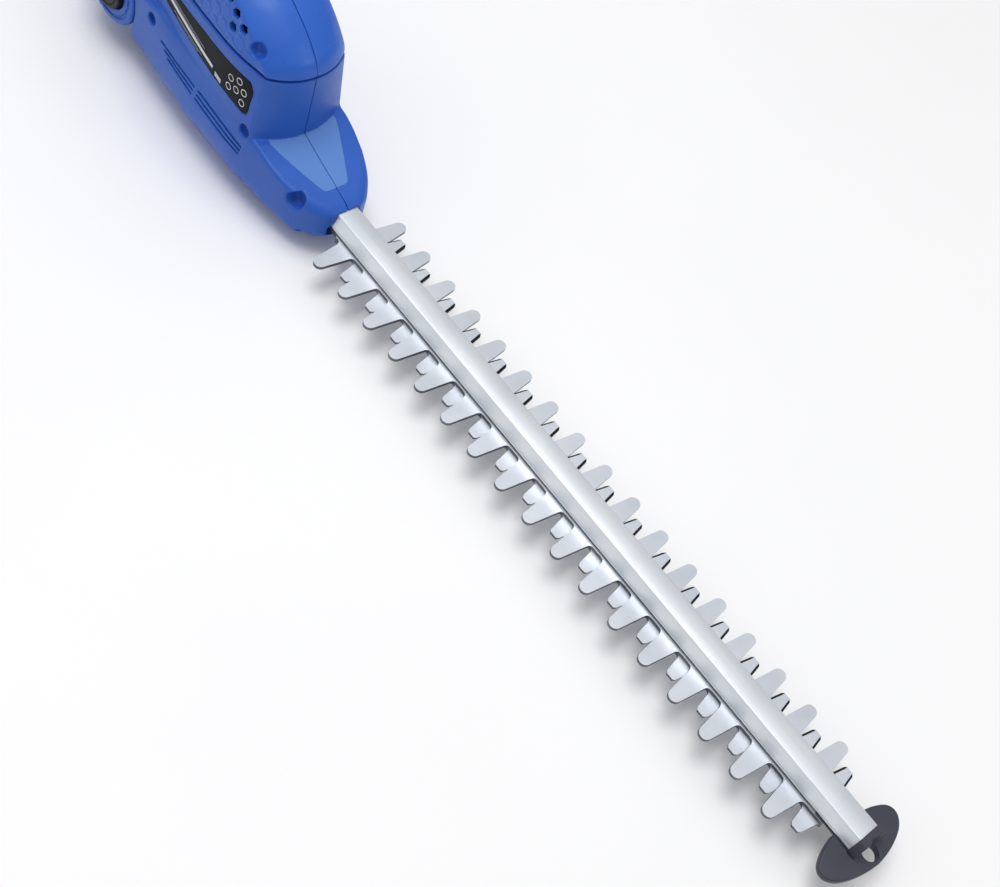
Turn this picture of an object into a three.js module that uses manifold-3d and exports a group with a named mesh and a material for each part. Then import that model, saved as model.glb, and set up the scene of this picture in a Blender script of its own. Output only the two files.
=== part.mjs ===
// Long-reach electric hedge trimmer: motor head with a double-sided dual-action blade,
// tilt joint, telescopic pole and rear handle. Millimetres, +Z up, blade towards +X.
// The outlines use "tool axes": X = 0 at the first long tooth, Y = 0 at the middle plane,
// Z = 0 at the top face of the upper blade. The exported group moves that origin to the
// middle of the tool at the level it lies on.
import * as THREE from 'three';
import { mergeVertices } from 'three/addons/utils/BufferGeometryUtils.js';
import Module from 'manifold-3d';

const wasm = await Module();
wasm.setup();

// ---------------------------------------------------------------- driving dimensions
const GAP = 0.3;                 // clearance between touching pieces
const REST_Z = -24;              // level of the flat that the tool lies on

// blades
const PITCH = 26;                // tooth spacing along each blade
const TEETH = 17;                // teeth on each side of a blade
const STRIP_HALF = 11.7;         // half-width of the blade strip between the teeth
const LONG_REACH = 36;           // long teeth, tip to middle line
const LONG_TIP_R = 4.25;
const LONG_ROOT_HALF = 6.8;
const SHORT_REACH = 25.2;        // short teeth, tip to middle line
const SHORT_TIP_HALF = 3.4;
const SHORT_ROOT_HALF = 5.6;
// Each blade has long teeth on one side and short ones on the other. These are the places of
// the first tooth on each side, and the lower blade's long teeth lie on the +Y side.
const UPPER_BLADE = { left: 11.3, right: 0 };
const LOWER_BLADE = { left: -0.7, right: 15.5 };
const BLADE_T = 2.3;
const LOWER_BLADE_Z = -BLADE_T - GAP;
const TAIL_HALF = 9;
const STROKE_HALF = 8;           // blade travel each way from the middle
const FIRST_TOOTH_ROOM = 8;
const STRIP_END = PITCH * (TEETH - 1) + 23;

// support bar
const BAR_REAR = -89.2;
const BAR_FRONT = 457.4;
const BAR_BASE_HALF = 10.5;
const BAR_TOP_HALF = 7.3;
const BAR_BASE_Z = 1.5;
const BAR_LIP_Z = 2.8;
const BAR_TOP_Z = 12;
const BOLT_X = [44, 170, 296, 414];
const BOLT_R = 3.1;

// crank drive
const CRANK_X = -100;
const CRANK_TEETH = 48;
const PINION_TEETH = 8;
const GEAR_MODULE = 1;
const MOTOR_X = CRANK_X - GEAR_MODULE * (CRANK_TEETH + PINION_TEETH) / 2;
const GEAR_Z = [15.5, 20.5];
const ECCENTRIC_R = 14;
const AXLE_R = 5;
const YOKE_SLOT_HALF = [ECCENTRIC_R + 1, ECCENTRIC_R + STROKE_HALF + 1];
const YOKE_HALF = [20, 27.5];

// motor
const SHAFT_R = 4;
const STATOR_R = 26.5;
const ARMATURE_R = 16.5;

// head housing
const WALL = 3;
const HULL_HALF = 40.5;
const SCREW_R = 2;
const SCREW_POST_R = 4.6;
const HEAD_SCREWS = {            // name: [x, z, half-width of the housing there]
  nose_screw: [-38, 14.5, 25],
  nose_lower_screw: [-30, -10.5, 22],
  middle_screw: [-86, 33, 34.5],
  top_screw: [-93, 90, 28.5],
  rear_screw: [-188, 35, 34],
  rear_lower_screw: [-197, -3.9, 32],
};

// tilt joint
const HINGE_X = -238;
const HINGE_Z = 22;
const DRUM_R = 28;
const DRUM_HALF = 35;
const TONGUE_HALF = 8.4;
const BUTTON_R = 16.5;

// pole
const FRONT_TUBE = { r: 14, wall: 1.5, from: -860, to: -264 };
const REAR_TUBE = { r: 17.5, wall: 1.5, from: -905, to: -372 };
const HANDLE_FRONT = -868;
const HANDLE_REAR = -1156;
const HANDLE_HALF = 17;
const HANDLE_WALL = 3;
const GLAND_REAR = -1178.2;
const GUARD_TIP = 473.2;

// facets round a piece
const SMALL = 8;
const ROUND = 16;
const BIG = 24;

// ---------------------------------------------------------------- shape helpers
const X_AXIS = new THREE.Vector3(1, 0, 0);
const Y_AXIS = new THREE.Vector3(0, 1, 0);
const Z_AXIS = new THREE.Vector3(0, 0, 1);
const DRAWN_TO_X = new THREE.Matrix4().makeBasis(Y_AXIS, Z_AXIS, X_AXIS);
const DRAWN_TO_Y = new THREE.Matrix4().makeBasis(X_AXIS, Z_AXIS, Y_AXIS.clone().negate());
const TURN = {
  x: new THREE.Matrix4().makeRotationZ(-Math.PI / 2),
  y: new THREE.Matrix4(),
  z: new THREE.Matrix4().makeRotationX(Math.PI / 2),
};

function outline(points) {
  return new THREE.Shape(points.map(([u, v]) => new THREE.Vector2(u, v)));
}

// A closed outline whose corners are rounded by the given radius.
function rounded(points, radius) {
  const shape = new THREE.Shape();
  const corner = points.map(([u, v]) => new THREE.Vector2(u, v));
  corner.forEach((here, i) => {
    const before = corner[(i + corner.length - 1) % corner.length];
    const after = corner[(i + 1) % corner.length];
    const back = before.clone().sub(here);
    const ahead = after.clone().sub(here);
    const start = here.clone().addScaledVector(back, Math.min(radius / back.length(), 0.49));
    const stop = here.clone().addScaledVector(ahead, Math.min(radius / ahead.length(), 0.49));
    if (i === 0) {
      shape.moveTo(start.x, start.y);
    } else {
      shape.lineTo(start.x, start.y);
    }
    shape.quadraticCurveTo(here.x, here.y, stop.x, stop.y);
  });
  return shape;
}

// Moves every side of a counter-clockwise outline inwards by the same distance.
function inset(points, distance) {
  return points.map(([u, v], i) => {
    const [pu, pv] = points[(i + points.length - 1) % points.length];
    const [nu, nv] = points[(i + 1) % points.length];
    const first = new THREE.Vector2(u - pu, v - pv).normalize();
    const second = new THREE.Vector2(nu - u, nv - v).normalize();
    const normal = new THREE.Vector2(-first.y - second.y, first.x + second.x).normalize();
    const reach = distance / Math.max(normal.dot(new THREE.Vector2(-first.y, first.x)), 0.35);
    return [u + normal.x * reach, v + normal.y * reach];
  });
}

function mirrored(half) {
  const other = half.filter(([u]) => u !== 0).map(([u, v]) => [-u, v]).reverse();
  return half.concat(other);
}

function solid(geometry) {
  const bare = geometry.clone();
  bare.deleteAttribute('normal');
  bare.deleteAttribute('uv');
  const merged = mergeVertices(bare, 1e-4);
  const mesh = new wasm.Mesh({
    numProp: 3,
    vertProperties: new Float32Array(merged.attributes.position.array),
    triVerts: new Uint32Array(merged.index.array),
  });
  return new wasm.Manifold(mesh);
}

function extruded(shape, depth, curveSegments) {
  return new THREE.ExtrudeGeometry(shape, { depth, bevelEnabled: false, curveSegments });
}

// Outline drawn in (x, y), solid from z0 to z1.
function alongZ(shape, z0, z1, segments = 4) {
  return solid(extruded(shape, z1 - z0, segments).translate(0, 0, z0));
}

// Outline drawn in (x, z), solid from y0 to y1.
function alongY(shape, y0, y1, segments = 4) {
  return solid(extruded(shape, y1 - y0, segments).applyMatrix4(DRAWN_TO_Y).translate(0, y1, 0));
}

// Outline drawn in (y, z), solid from x0 to x1.
function alongX(shape, x0, x1, segments = 4) {
  return solid(extruded(shape, x1 - x0, segments).applyMatrix4(DRAWN_TO_X).translate(x0, 0, 0));
}

function box(low, high) {
  const size = high.map((value, i) => value - low[i]);
  const middle = high.map((value, i) => (value + low[i]) / 2);
  return solid(new THREE.BoxGeometry(...size).translate(...middle));
}

// Turned piece: profile of [radius, distance along the axis], from axis to axis or closed.
function turned(axis, profile, at, sides = ROUND) {
  const points = profile.map(([radius, along]) => new THREE.Vector2(radius, along));
  const lathe = new THREE.LatheGeometry(points, sides).applyMatrix4(TURN[axis]);
  return solid(lathe.translate(...at));
}

function rod(axis, radius, from, to, at, sides = ROUND) {
  return turned(axis, [[0, from], [radius, from], [radius, to], [0, to]], at, sides);
}

function ring(axis, outer, inner, from, to, at, sides = ROUND) {
  const profile = [[inner, from], [outer, from], [outer, to], [inner, to], [inner, from]];
  return turned(axis, profile, at, sides);
}

function joined(first, ...others) {
  return others.reduce((whole, next) => whole.add(next), first);
}

function cut(first, ...tools) {
  return tools.reduce((rest, tool) => rest.subtract(tool), first);
}

// ---------------------------------------------------------------- materials
function material(color, roughness, metalness) {
  return new THREE.MeshStandardMaterial({ color, roughness, metalness });
}
const BLUE = material(0x2f5fc0, 0.42, 0);
const BLACK = material(0x1d1e22, 0.5, 0);
const CHARCOAL = material(0x3b3c42, 0.45, 0);
const ALUMINIUM = material(0xd6dde4, 0.35, 0.9);
const CASTING = material(0xa9acae, 0.5, 0.8);
const BLADE_STEEL = material(0xb9bdc2, 0.4, 0.85);
const STEEL = material(0xc4c6c8, 0.3, 0.95);
const DARK_STEEL = material(0x55575a, 0.45, 0.85);
const COPPER = material(0xb0623a, 0.35, 0.9);
const CARBON = material(0x2a2a2b, 0.8, 0.1);
const NYLON = material(0xe6e2d6, 0.5, 0);
const RUBBER = material(0x232325, 0.85, 0);

const tool = new THREE.Group();

function piece(name, body, look) {
  const mesh = body.getMesh();
  const geometry = new THREE.BufferGeometry();
  geometry.setAttribute('position', new THREE.BufferAttribute(new Float32Array(mesh.vertProperties), 3));
  geometry.setIndex(new THREE.BufferAttribute(new Uint32Array(mesh.triVerts), 1));
  const part = new THREE.Mesh(geometry, look);
  part.name = name;
  tool.add(part);
}

// ---------------------------------------------------------------- blades
function capsule(x, halfLength, radius) {
  const path = new THREE.Path();
  path.absarc(x + halfLength, 0, radius, -Math.PI / 2, Math.PI / 2, false);
  path.absarc(x - halfLength, 0, radius, Math.PI / 2, Math.PI * 1.5, false);
  return path;
}

function longTooth(shape, x, side) {
  const flank = LONG_REACH - LONG_TIP_R;
  shape.lineTo(x + side * (LONG_ROOT_HALF + 2.2), side * STRIP_HALF);
  shape.lineTo(x + side * LONG_ROOT_HALF, side * (STRIP_HALF + 2.2));
  shape.absarc(x, side * flank, LONG_TIP_R, side > 0 ? 0 : Math.PI, side > 0 ? Math.PI : Math.PI * 2, false);
  shape.lineTo(x - side * LONG_ROOT_HALF, side * (STRIP_HALF + 2.2));
  shape.lineTo(x - side * (LONG_ROOT_HALF + 2.2), side * STRIP_HALF);
}

function shortTooth(shape, x, side) {
  shape.lineTo(x + side * (SHORT_ROOT_HALF + 1.6), side * STRIP_HALF);
  shape.lineTo(x + side * SHORT_ROOT_HALF, side * (STRIP_HALF + 1.6));
  shape.lineTo(x + side * SHORT_TIP_HALF, side * SHORT_REACH);
  shape.lineTo(x - side * SHORT_TIP_HALF, side * SHORT_REACH);
  shape.lineTo(x - side * SHORT_ROOT_HALF, side * (STRIP_HALF + 1.6));
  shape.lineTo(x - side * (SHORT_ROOT_HALF + 1.6), side * STRIP_HALF);
}

// Toothed strip with its tail and the yoke that the eccentric pushes to and fro.
function blade(leftTooth, rightTooth, shift, z) {
  const [slotX, slotY] = YOKE_SLOT_HALF;
  const [yokeX, yokeY] = YOKE_HALF;
  const shape = new THREE.Shape();
  const neck = CRANK_X + yokeX;
  shape.moveTo(CRANK_X - yokeX, -yokeY);
  shape.lineTo(neck, -yokeY);
  shape.lineTo(neck, -TAIL_HALF);
  shape.lineTo(-FIRST_TOOTH_ROOM - 6, -TAIL_HALF);
  shape.lineTo(-FIRST_TOOTH_ROOM - 3.5, -STRIP_HALF);
  for (let k = 0; k < TEETH; k += 1) {
    rightTooth(shape, shift.right + PITCH * k, -1);
  }
  shape.lineTo(STRIP_END, -STRIP_HALF);
  shape.lineTo(STRIP_END, STRIP_HALF);
  for (let k = TEETH - 1; k >= 0; k -= 1) {
    leftTooth(shape, shift.left + PITCH * k, 1);
  }
  shape.lineTo(-FIRST_TOOTH_ROOM - 3.5, STRIP_HALF);
  shape.lineTo(-FIRST_TOOTH_ROOM - 6, TAIL_HALF);
  shape.lineTo(neck, TAIL_HALF);
  shape.lineTo(neck, yokeY);
  shape.lineTo(CRANK_X - yokeX, yokeY);
  BOLT_X.forEach((x) => shape.holes.push(capsule(x, STROKE_HALF + 0.6, BOLT_R + 0.4)));
  const slot = outline([[CRANK_X - slotX, -slotY], [CRANK_X + slotX, -slotY],
    [CRANK_X + slotX, slotY], [CRANK_X - slotX, slotY]]);
  shape.holes.push(slot);
  return alongZ(shape, z - BLADE_T, z, 3);
}
piece('upper_cutting_blade', blade(shortTooth, longTooth, UPPER_BLADE, 0), BLADE_STEEL);
piece('lower_cutting_blade', blade(longTooth, shortTooth, LOWER_BLADE, LOWER_BLADE_Z), BLADE_STEEL);

// ---------------------------------------------------------------- support bar and what it carries
const barProfile = mirrored([[0, BAR_BASE_Z], [BAR_BASE_HALF, BAR_BASE_Z], [BAR_BASE_HALF, BAR_LIP_Z],
  [BAR_TOP_HALF, BAR_TOP_Z]]);
const BAR_SCREW_X = [-67, -80];
const GUARD_SCREW_X = 450.5;
function supportBar() {
  const bar = alongX(outline(barProfile), BAR_REAR, BAR_FRONT);
  const boltHoles = BOLT_X.map((x) => rod('z', BOLT_R + GAP, 0, 9.4, [x, 0, 0], SMALL));
  const screwHoles = BAR_SCREW_X.map((x) => rod('z', SCREW_R + GAP, 4, 13, [x, 0, 0], SMALL));
  return cut(bar, ...boltHoles, ...screwHoles, rod('z', SCREW_R + GAP, 0, 9, [GUARD_SCREW_X, 0, 0], SMALL));
}
piece('support_bar', supportBar(), ALUMINIUM);

function slideStrip() {
  const strip = box([-58, -9.6, GAP], [428, 9.6, BAR_BASE_Z - GAP]);
  return cut(strip, ...BOLT_X.map((x) => rod('z', BOLT_R + GAP, 0, 3, [x, 0, 0], SMALL)));
}
piece('slide_strip', slideStrip(), BLACK);

const BOLT_HEAD_Z = LOWER_BLADE_Z - BLADE_T - GAP;
BOLT_X.forEach((x, i) => {
  const profile = [[0, -3], [4.6, -3], [5.6, -2.2], [5.6, 0], [BOLT_R, 0], [BOLT_R, 9 - BOLT_HEAD_Z],
    [0, 9 - BOLT_HEAD_Z]];
  piece(`blade_bolt_${i + 1}`, turned('z', profile, [x, 0, BOLT_HEAD_Z], SMALL), STEEL);
});

// Fish-tail guard: a flat plate past the last teeth with a socket for the end of the bar.
function tipGuard() {
  const half = [[446.4, 0], [446.4, 13.5], [448.3, 20.5], [451.5, 27.6], [455, 31], [459, 31.8], [463, 30],
    [466.6, 25.8], [469.3, 20], [471.4, 13], [GUARD_TIP, 0]];
  const points = half.concat(half.slice(1, -1).reverse().map(([u, v]) => [u, -v]));
  const plate = alongZ(outline(points.reverse()), -5.2, 0.9);
  const tongue = box([432, -11.4, GAP], [450, 11.4, 0.9]);
  const socketProfile = mirrored([[0, 0.5], [BAR_BASE_HALF + 1.4, 0.5], [BAR_BASE_HALF + 1.2, 4],
    [BAR_TOP_HALF + 1.4, BAR_TOP_Z + 1.3]]);
  const socket = alongX(outline(socketProfile), 454.5, 461.4);
  const room = mirrored([[0, 1.2], [BAR_BASE_HALF + GAP, 1.2], [BAR_BASE_HALF + GAP, BAR_LIP_Z + 0.1],
    [BAR_TOP_HALF + GAP, BAR_TOP_Z + GAP]]);
  const barRoom = alongX(outline(room), 440, BAR_FRONT + GAP);
  const hangHole = rod('z', 4.5, -10, 6, [466.2, 0, 0]);
  const screwHole = rod('z', SCREW_R + GAP, -10, 6, [GUARD_SCREW_X, 0, 0], SMALL);
  const headRoom = rod('z', 4.3, -10, -3, [GUARD_SCREW_X, 0, 0], SMALL);
  return cut(joined(plate, tongue, socket), barRoom, hangHole, screwHole, headRoom);
}
piece('tip_guard', tipGuard(), CHARCOAL);

// Countersunk screw standing along an axis: head from the given point, shank along dir.
function screw(axis, at, dir, headR, headT, shankR, length) {
  const tip = dir * (headT + length);
  const under = dir * headT;
  const points = [[0, 0], [headR, 0], [headR, under], [shankR, under], [shankR, tip], [0, tip]];
  return turned(axis, dir > 0 ? points : points.reverse(), at, SMALL);
}
piece('guard_screw', screw('z', [GUARD_SCREW_X, 0, -5], 1, 4, 1.8, SCREW_R, 11), STEEL);

// ---------------------------------------------------------------- gearcase and crank drive
const BASE_X = [-144, -60];
const BASE_Z = [0.8, 15];
const CASE_HALF = 28.5;
function gearcaseBase() {
  const block = alongZ(rounded([[BASE_X[0], -CASE_HALF], [BASE_X[1] - 6, -CASE_HALF], [BASE_X[1], -20],
    [BASE_X[1], 20], [BASE_X[1] - 6, CASE_HALF], [BASE_X[0], CASE_HALF]], 5), ...BASE_Z, 3);
  const barSlot = box([BAR_REAR - GAP, -BAR_BASE_HALF - GAP, 0], [BASE_X[1] + 1, BAR_BASE_HALF + GAP, 12.3]);
  const axleHole = rod('z', AXLE_R + GAP, 0, 20, [CRANK_X, 0, 0]);
  const shaftHole = rod('z', SHAFT_R + GAP, 0, 20, [MOTOR_X, 0, 0]);
  const screwHoles = BAR_SCREW_X.map((x) => rod('z', 4.2, 12, 20, [x, 0, 0], SMALL));
  const pockets = [-1, 1].map((side) => {
    const edges = [side * 13.5, side * (CASE_HALF - 3)].sort((a, b) => a - b);
    return box([CRANK_X - 22, edges[0], 0], [CRANK_X + 18, edges[1], 11]);
  });
  return cut(block, barSlot, axleHole, shaftHole, ...screwHoles, ...pockets);
}
piece('gearcase_base', gearcaseBase(), CASTING);
BAR_SCREW_X.forEach((x, i) => {
  piece(`bar_screw_${i + 1}`, screw('z', [x, 0, 14.7], -1, 3.8, 2.2, SCREW_R, 8), STEEL);
});

const COVER_Z = [21.2, 25.2];
const BEARING_R = 9;
function gearcaseCover() {
  const plate = alongZ(rounded([[-158, -CASE_HALF], [-90, -CASE_HALF], [-79, -20], [-79, 20],
    [-90, CASE_HALF], [-158, CASE_HALF]], 5), ...COVER_Z, 3);
  const axleHole = rod('z', AXLE_R + GAP, 20, 30, [CRANK_X, 0, 0]);
  return cut(plate, axleHole, rod('z', BEARING_R + GAP, 20, 30, [MOTOR_X, 0, 0]));
}
piece('gearcase_cover', gearcaseCover(), CASTING);

const PLATE_Z = [-8.6, -7.2];
function bladeCoverPlate() {
  const plate = alongZ(rounded([[-140, -28], [-80, -28], [-42, -18], [-42, 18], [-80, 28], [-140, 28]], 4),
    ...PLATE_Z, 3);
  return cut(plate, rod('z', AXLE_R + GAP, -10, 0, [CRANK_X, 0, 0]));
}
piece('blade_cover_plate', bladeCoverPlate(), STEEL);

// Spur gear: straight-flanked teeth, narrowed for running clearance.
function gear(teeth, at, z, bore, turn) {
  const pitchR = GEAR_MODULE * teeth / 2;
  const step = Math.PI * 2 / teeth;
  const points = [];
  for (let k = 0; k < teeth; k += 1) {
    const angle = turn + k * step;
    [[-0.31, pitchR - 1.15], [-0.11, pitchR + 0.75], [0.11, pitchR + 0.75], [0.31, pitchR - 1.15]]
      .forEach(([part, radius]) => {
        const a = angle + part * step;
        points.push([at + radius * Math.cos(a), radius * Math.sin(a)]);
      });
  }
  return cut(alongZ(outline(points), ...z), rod('z', bore, -50, 50, [at, 0, 0]));
}
piece('crank_gear', gear(CRANK_TEETH, CRANK_X, GEAR_Z, AXLE_R + GAP, 0), STEEL);
piece('motor_pinion', gear(PINION_TEETH, MOTOR_X, [GEAR_Z[0] - 0.2, GEAR_Z[1] + 0.2], 2.3,
  Math.PI / PINION_TEETH), DARK_STEEL);

function eccentric(side, z0, z1) {
  const disc = rod('z', ECCENTRIC_R, z0, z1, [CRANK_X, side * STROKE_HALF, 0], BIG);
  return cut(disc, rod('z', AXLE_R + GAP, -50, 50, [CRANK_X, 0, 0]));
}
piece('upper_eccentric', eccentric(1, -BLADE_T, 0), STEEL);
piece('lower_eccentric', eccentric(-1, LOWER_BLADE_Z - BLADE_T, LOWER_BLADE_Z), STEEL);
piece('crank_axle', rod('z', AXLE_R, PLATE_Z[0] - 1, COVER_Z[1] + 1, [CRANK_X, 0, 0]), STEEL);

// ---------------------------------------------------------------- motor
const CORE_Z = [42, 75];
function armatureShaft() {
  const profile = [[0, 2], [2, 2], [2, COVER_Z[0]], [SHAFT_R, COVER_Z[0]], [SHAFT_R, 105], [0, 105]];
  return turned('z', profile, [MOTOR_X, 0, 0]);
}
piece('armature_shaft', armatureShaft(), STEEL);
piece('armature_core', ring('z', ARMATURE_R, SHAFT_R + GAP, ...CORE_Z, [MOTOR_X, 0, 0], BIG), DARK_STEEL);
piece('commutator', ring('z', 10, SHAFT_R + GAP, 82, 97, [MOTOR_X, 0, 0]), COPPER);

const FAN_Z = 26.2;
function coolingFan() {
  const disc = ring('z', 24, SHAFT_R + GAP, FAN_Z, FAN_Z + 1.6, [MOTOR_X, 0, 0]);
  const hub = ring('z', 8, SHAFT_R + GAP, FAN_Z, FAN_Z + 8, [MOTOR_X, 0, 0]);
  const vane = box([7, -0.8, FAN_Z], [22.5, 0.8, FAN_Z + 7]);
  const vanes = [];
  for (let k = 0; k < 8; k += 1) {
    vanes.push(vane.rotate([0, 0, k * 45]).translate([MOTOR_X, 0, 0]));
  }
  return joined(disc, hub, ...vanes);
}
piece('cooling_fan', coolingFan(), BLACK);
piece('stator_core', ring('z', STATOR_R, 18, ...CORE_Z, [MOTOR_X, 0, 0], BIG), DARK_STEEL);
piece('field_winding_lower', ring('z', 25.3, 18.6, 35.5, CORE_Z[0] - GAP, [MOTOR_X, 0, 0]), COPPER);
piece('field_winding_upper', ring('z', 25.3, 18.6, CORE_Z[1] + GAP, 80, [MOTOR_X, 0, 0]), COPPER);
piece('lower_bearing', ring('z', BEARING_R, SHAFT_R + GAP, ...COVER_Z, [MOTOR_X, 0, 0]), STEEL);
piece('upper_bearing', ring('z', BEARING_R, SHAFT_R + GAP, 99, 104, [MOTOR_X, 0, 0]), STEEL);

[['left', 1], ['right', -1]].forEach(([name, side]) => {
  const inner = side * 10.4;
  const [near, far] = [Math.min(inner, side * 21), Math.max(inner, side * 21)];
  const brush = box([MOTOR_X - 3, near, 86], [MOTOR_X + 3, far, 94]);
  const [low, high] = [Math.min(side * 12, side * 25), Math.max(side * 12, side * 25)];
  const room = box([MOTOR_X - 3 - GAP, near - 1, 86 - GAP], [MOTOR_X + 3 + GAP, far + 1, 94 + GAP]);
  const sleeve = cut(box([MOTOR_X - 5.5, low, 83.5], [MOTOR_X + 5.5, high, 96.5]), room);
  piece(`carbon_brush_${name}`, brush, CARBON);
  piece(`brush_holder_${name}`, sleeve, NYLON);
});

// ---------------------------------------------------------------- head housing
const UNDERSIDE = [[-214, -8], [-204, -20], [-190, REST_Z], [-100, REST_Z], [-60, -19], [-38, -14.5], [-17, -7.5]];
const NOSE_TOP = [[-16, 13.6], [-27, 17.4], [-43.2, 22.2], [-56.7, 26.3], [-72, 31.3]];
const HULL_BACK = [[-182, 47], [-209, 43]];
const COVER_TOP = [[-70.2, 76.6], [-69.4, 80], [-72.8, 87.5], [-78.3, 93.2], [-84.9, 99.5], [-94.3, 105.4],
  [-104, 111.3], [-116, 115.8], [-130, 118.2], [-146, 117.6], [-160, 112], [-184, 90], [-200, 68], [-207, 50]];
const PLAN = [[-16, 12.8], [-24, 22], [-32, 28], [-41, 31.3], [-78, 37.4], [-104, HULL_HALF],
  [-140, HULL_HALF], [-180, 35], [-214, 29.5]];
const TOWER_PLAN = [[-70, 8], [-72.4, 18], [-76, 27], [-80.5, 33.5], [-84, 35.8], [-186, 35.8], [-207, 33.5]];
const SECTION = [[0, REST_Z], [26, REST_Z], [36.5, -11], [HULL_HALF, 4], [HULL_HALF, 12], [35.6, 34],
  [33, 77], [31.4, 81], [29.5, 98], [24, 109], [11, 117], [0, 118.5]];

function bothSides(half) {
  return half.map(([u, v]) => [u, -v]).reverse().concat(half);
}

// Counter-clockwise outlines seen with the first drawn axis to the right.
function housingBody(depth) {
  const side = UNDERSIDE.concat(NOSE_TOP, HULL_BACK);
  const tower = [[-207, -6], [-70.2, -6]].concat(COVER_TOP);
  const shrink = (points) => outline(depth ? inset(points, depth) : points);
  const hull = alongY(shrink(side), -60, 60);
  const hullPlan = alongZ(shrink(bothSides(PLAN)), -60, 60);
  const rise = alongY(shrink(tower), -60, 60);
  const risePlan = alongZ(shrink(bothSides(TOWER_PLAN)), -60, 140);
  const across = alongX(shrink(mirrored(SECTION)), -260, 20);
  return joined(hull.intersect(hullPlan), rise.intersect(risePlan)).intersect(across);
}

// Everything closer to the middle than the given depth under the side walls.
function skin(depth) {
  return alongX(outline(inset(mirrored(SECTION), depth)), -260, 20);
}

const LABEL = [[-90, 45.5], [-86.5, 47], [-84.5, 67], [-88, 72], [-186, 72.5], [-190, 66], [-178, 59.5],
  [-150, 50.5], [-122, 45.8]];

function ventSlots() {
  const slots = [];
  [[-160, 30.5], [-108, 24]].forEach(([x, z]) => {
    for (let row = 0; row < 3; row += 1) {
      [-1, 1].forEach((side) => {
        const slot = box([-19, 30, -1.1], [19, 46, 1.1]).rotate([0, 7, 0]);
        const placed = slot.translate([x, 0, z - row * 5]);
        slots.push(side > 0 ? placed : placed.mirror([0, 1, 0]));
      });
    }
  });
  return slots;
}

function hexHoles() {
  const holes = [];
  [[-118, 98], [-125, 94], [-125, 102], [-132, 98]].forEach(([x, z]) => {
    holes.push(rod('y', 3.1, -40, 40, [x, 0, z], 6));
  });
  return holes;
}

function housing() {
  const shell = cut(housingBody(0), housingBody(WALL));
  const posts = Object.values(HEAD_SCREWS).map(([x, z, half]) => joined(
    rod('y', SCREW_POST_R, TONGUE_HALF + 0.6, half, [x, 0, z], SMALL),
    rod('y', SCREW_POST_R, -half, -TONGUE_HALF - 0.6, [x, 0, z], SMALL),
  ));
  const recesses = Object.values(HEAD_SCREWS).map(([x, z, half]) => (
    rod('y', 4, -60, -half + 7, [x, 0, z], SMALL)));
  const shanks = Object.values(HEAD_SCREWS).map(([x, z, half]) => (
    rod('y', SCREW_R + GAP, -half - 2, half - 6, [x, 0, z], SMALL)));
  const bladeMouth = box([-26, -12.4, LOWER_BLADE_Z - BLADE_T - 1], [0, 12.4, BAR_TOP_Z + GAP]);
  const tongueMouth = box([-230, -TONGUE_HALF - GAP, 9.5], [-200, TONGUE_HALF + GAP, 30]);
  const drumRoom = rod('y', DRUM_R + 1.5, -60, 60, [HINGE_X, 0, HINGE_Z], BIG);
  const inside = housingBody(0);
  const withPosts = joined(shell, ...posts.map((post) => post.intersect(inside)));
  const labelPocket = cut(alongY(outline(LABEL), -60, -20), skin(1));
  return cut(withPosts, ...recesses, ...shanks, bladeMouth, tongueMouth, drumRoom, labelPocket,
    ...ventSlots(), ...hexHoles());
}

const wholeHousing = housing();
piece('housing_left', wholeHousing.intersect(box([-260, GAP / 2, -60], [20, 60, 140])), BLUE);
piece('housing_right', wholeHousing.intersect(box([-260, -60, -60], [20, -GAP / 2, 140])), BLUE);
const labelBlank = alongY(outline(inset([...LABEL], GAP)), -60, -20);
piece('rating_label', cut(labelBlank.intersect(skin(0.1)), skin(0.75)), BLACK);
Object.entries(HEAD_SCREWS).forEach(([name, [x, z, half]]) => {
  piece(name, screw('y', [x, -half + 4.4, z], 1, 3.6, 2.3, SCREW_R, 2 * half - 13.2), DARK_STEEL);
});

// ---------------------------------------------------------------- tilt joint
const HINGE = [HINGE_X, 0, HINGE_Z];
const BOLT_HOLE_R = 4.3;
const SLOT_HALF = 9.2;
const EYE_R = 21;
function tongue() {
  const eye = rod('y', EYE_R, -TONGUE_HALF, TONGUE_HALF, HINGE, BIG);
  const arm = box([HINGE_X, -TONGUE_HALF, 12], [-166, TONGUE_HALF, 29]);
  return cut(joined(eye, arm), rod('y', BOLT_HOLE_R, -20, 20, HINGE));
}
piece('hinge_tongue', tongue(), CASTING);

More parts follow.
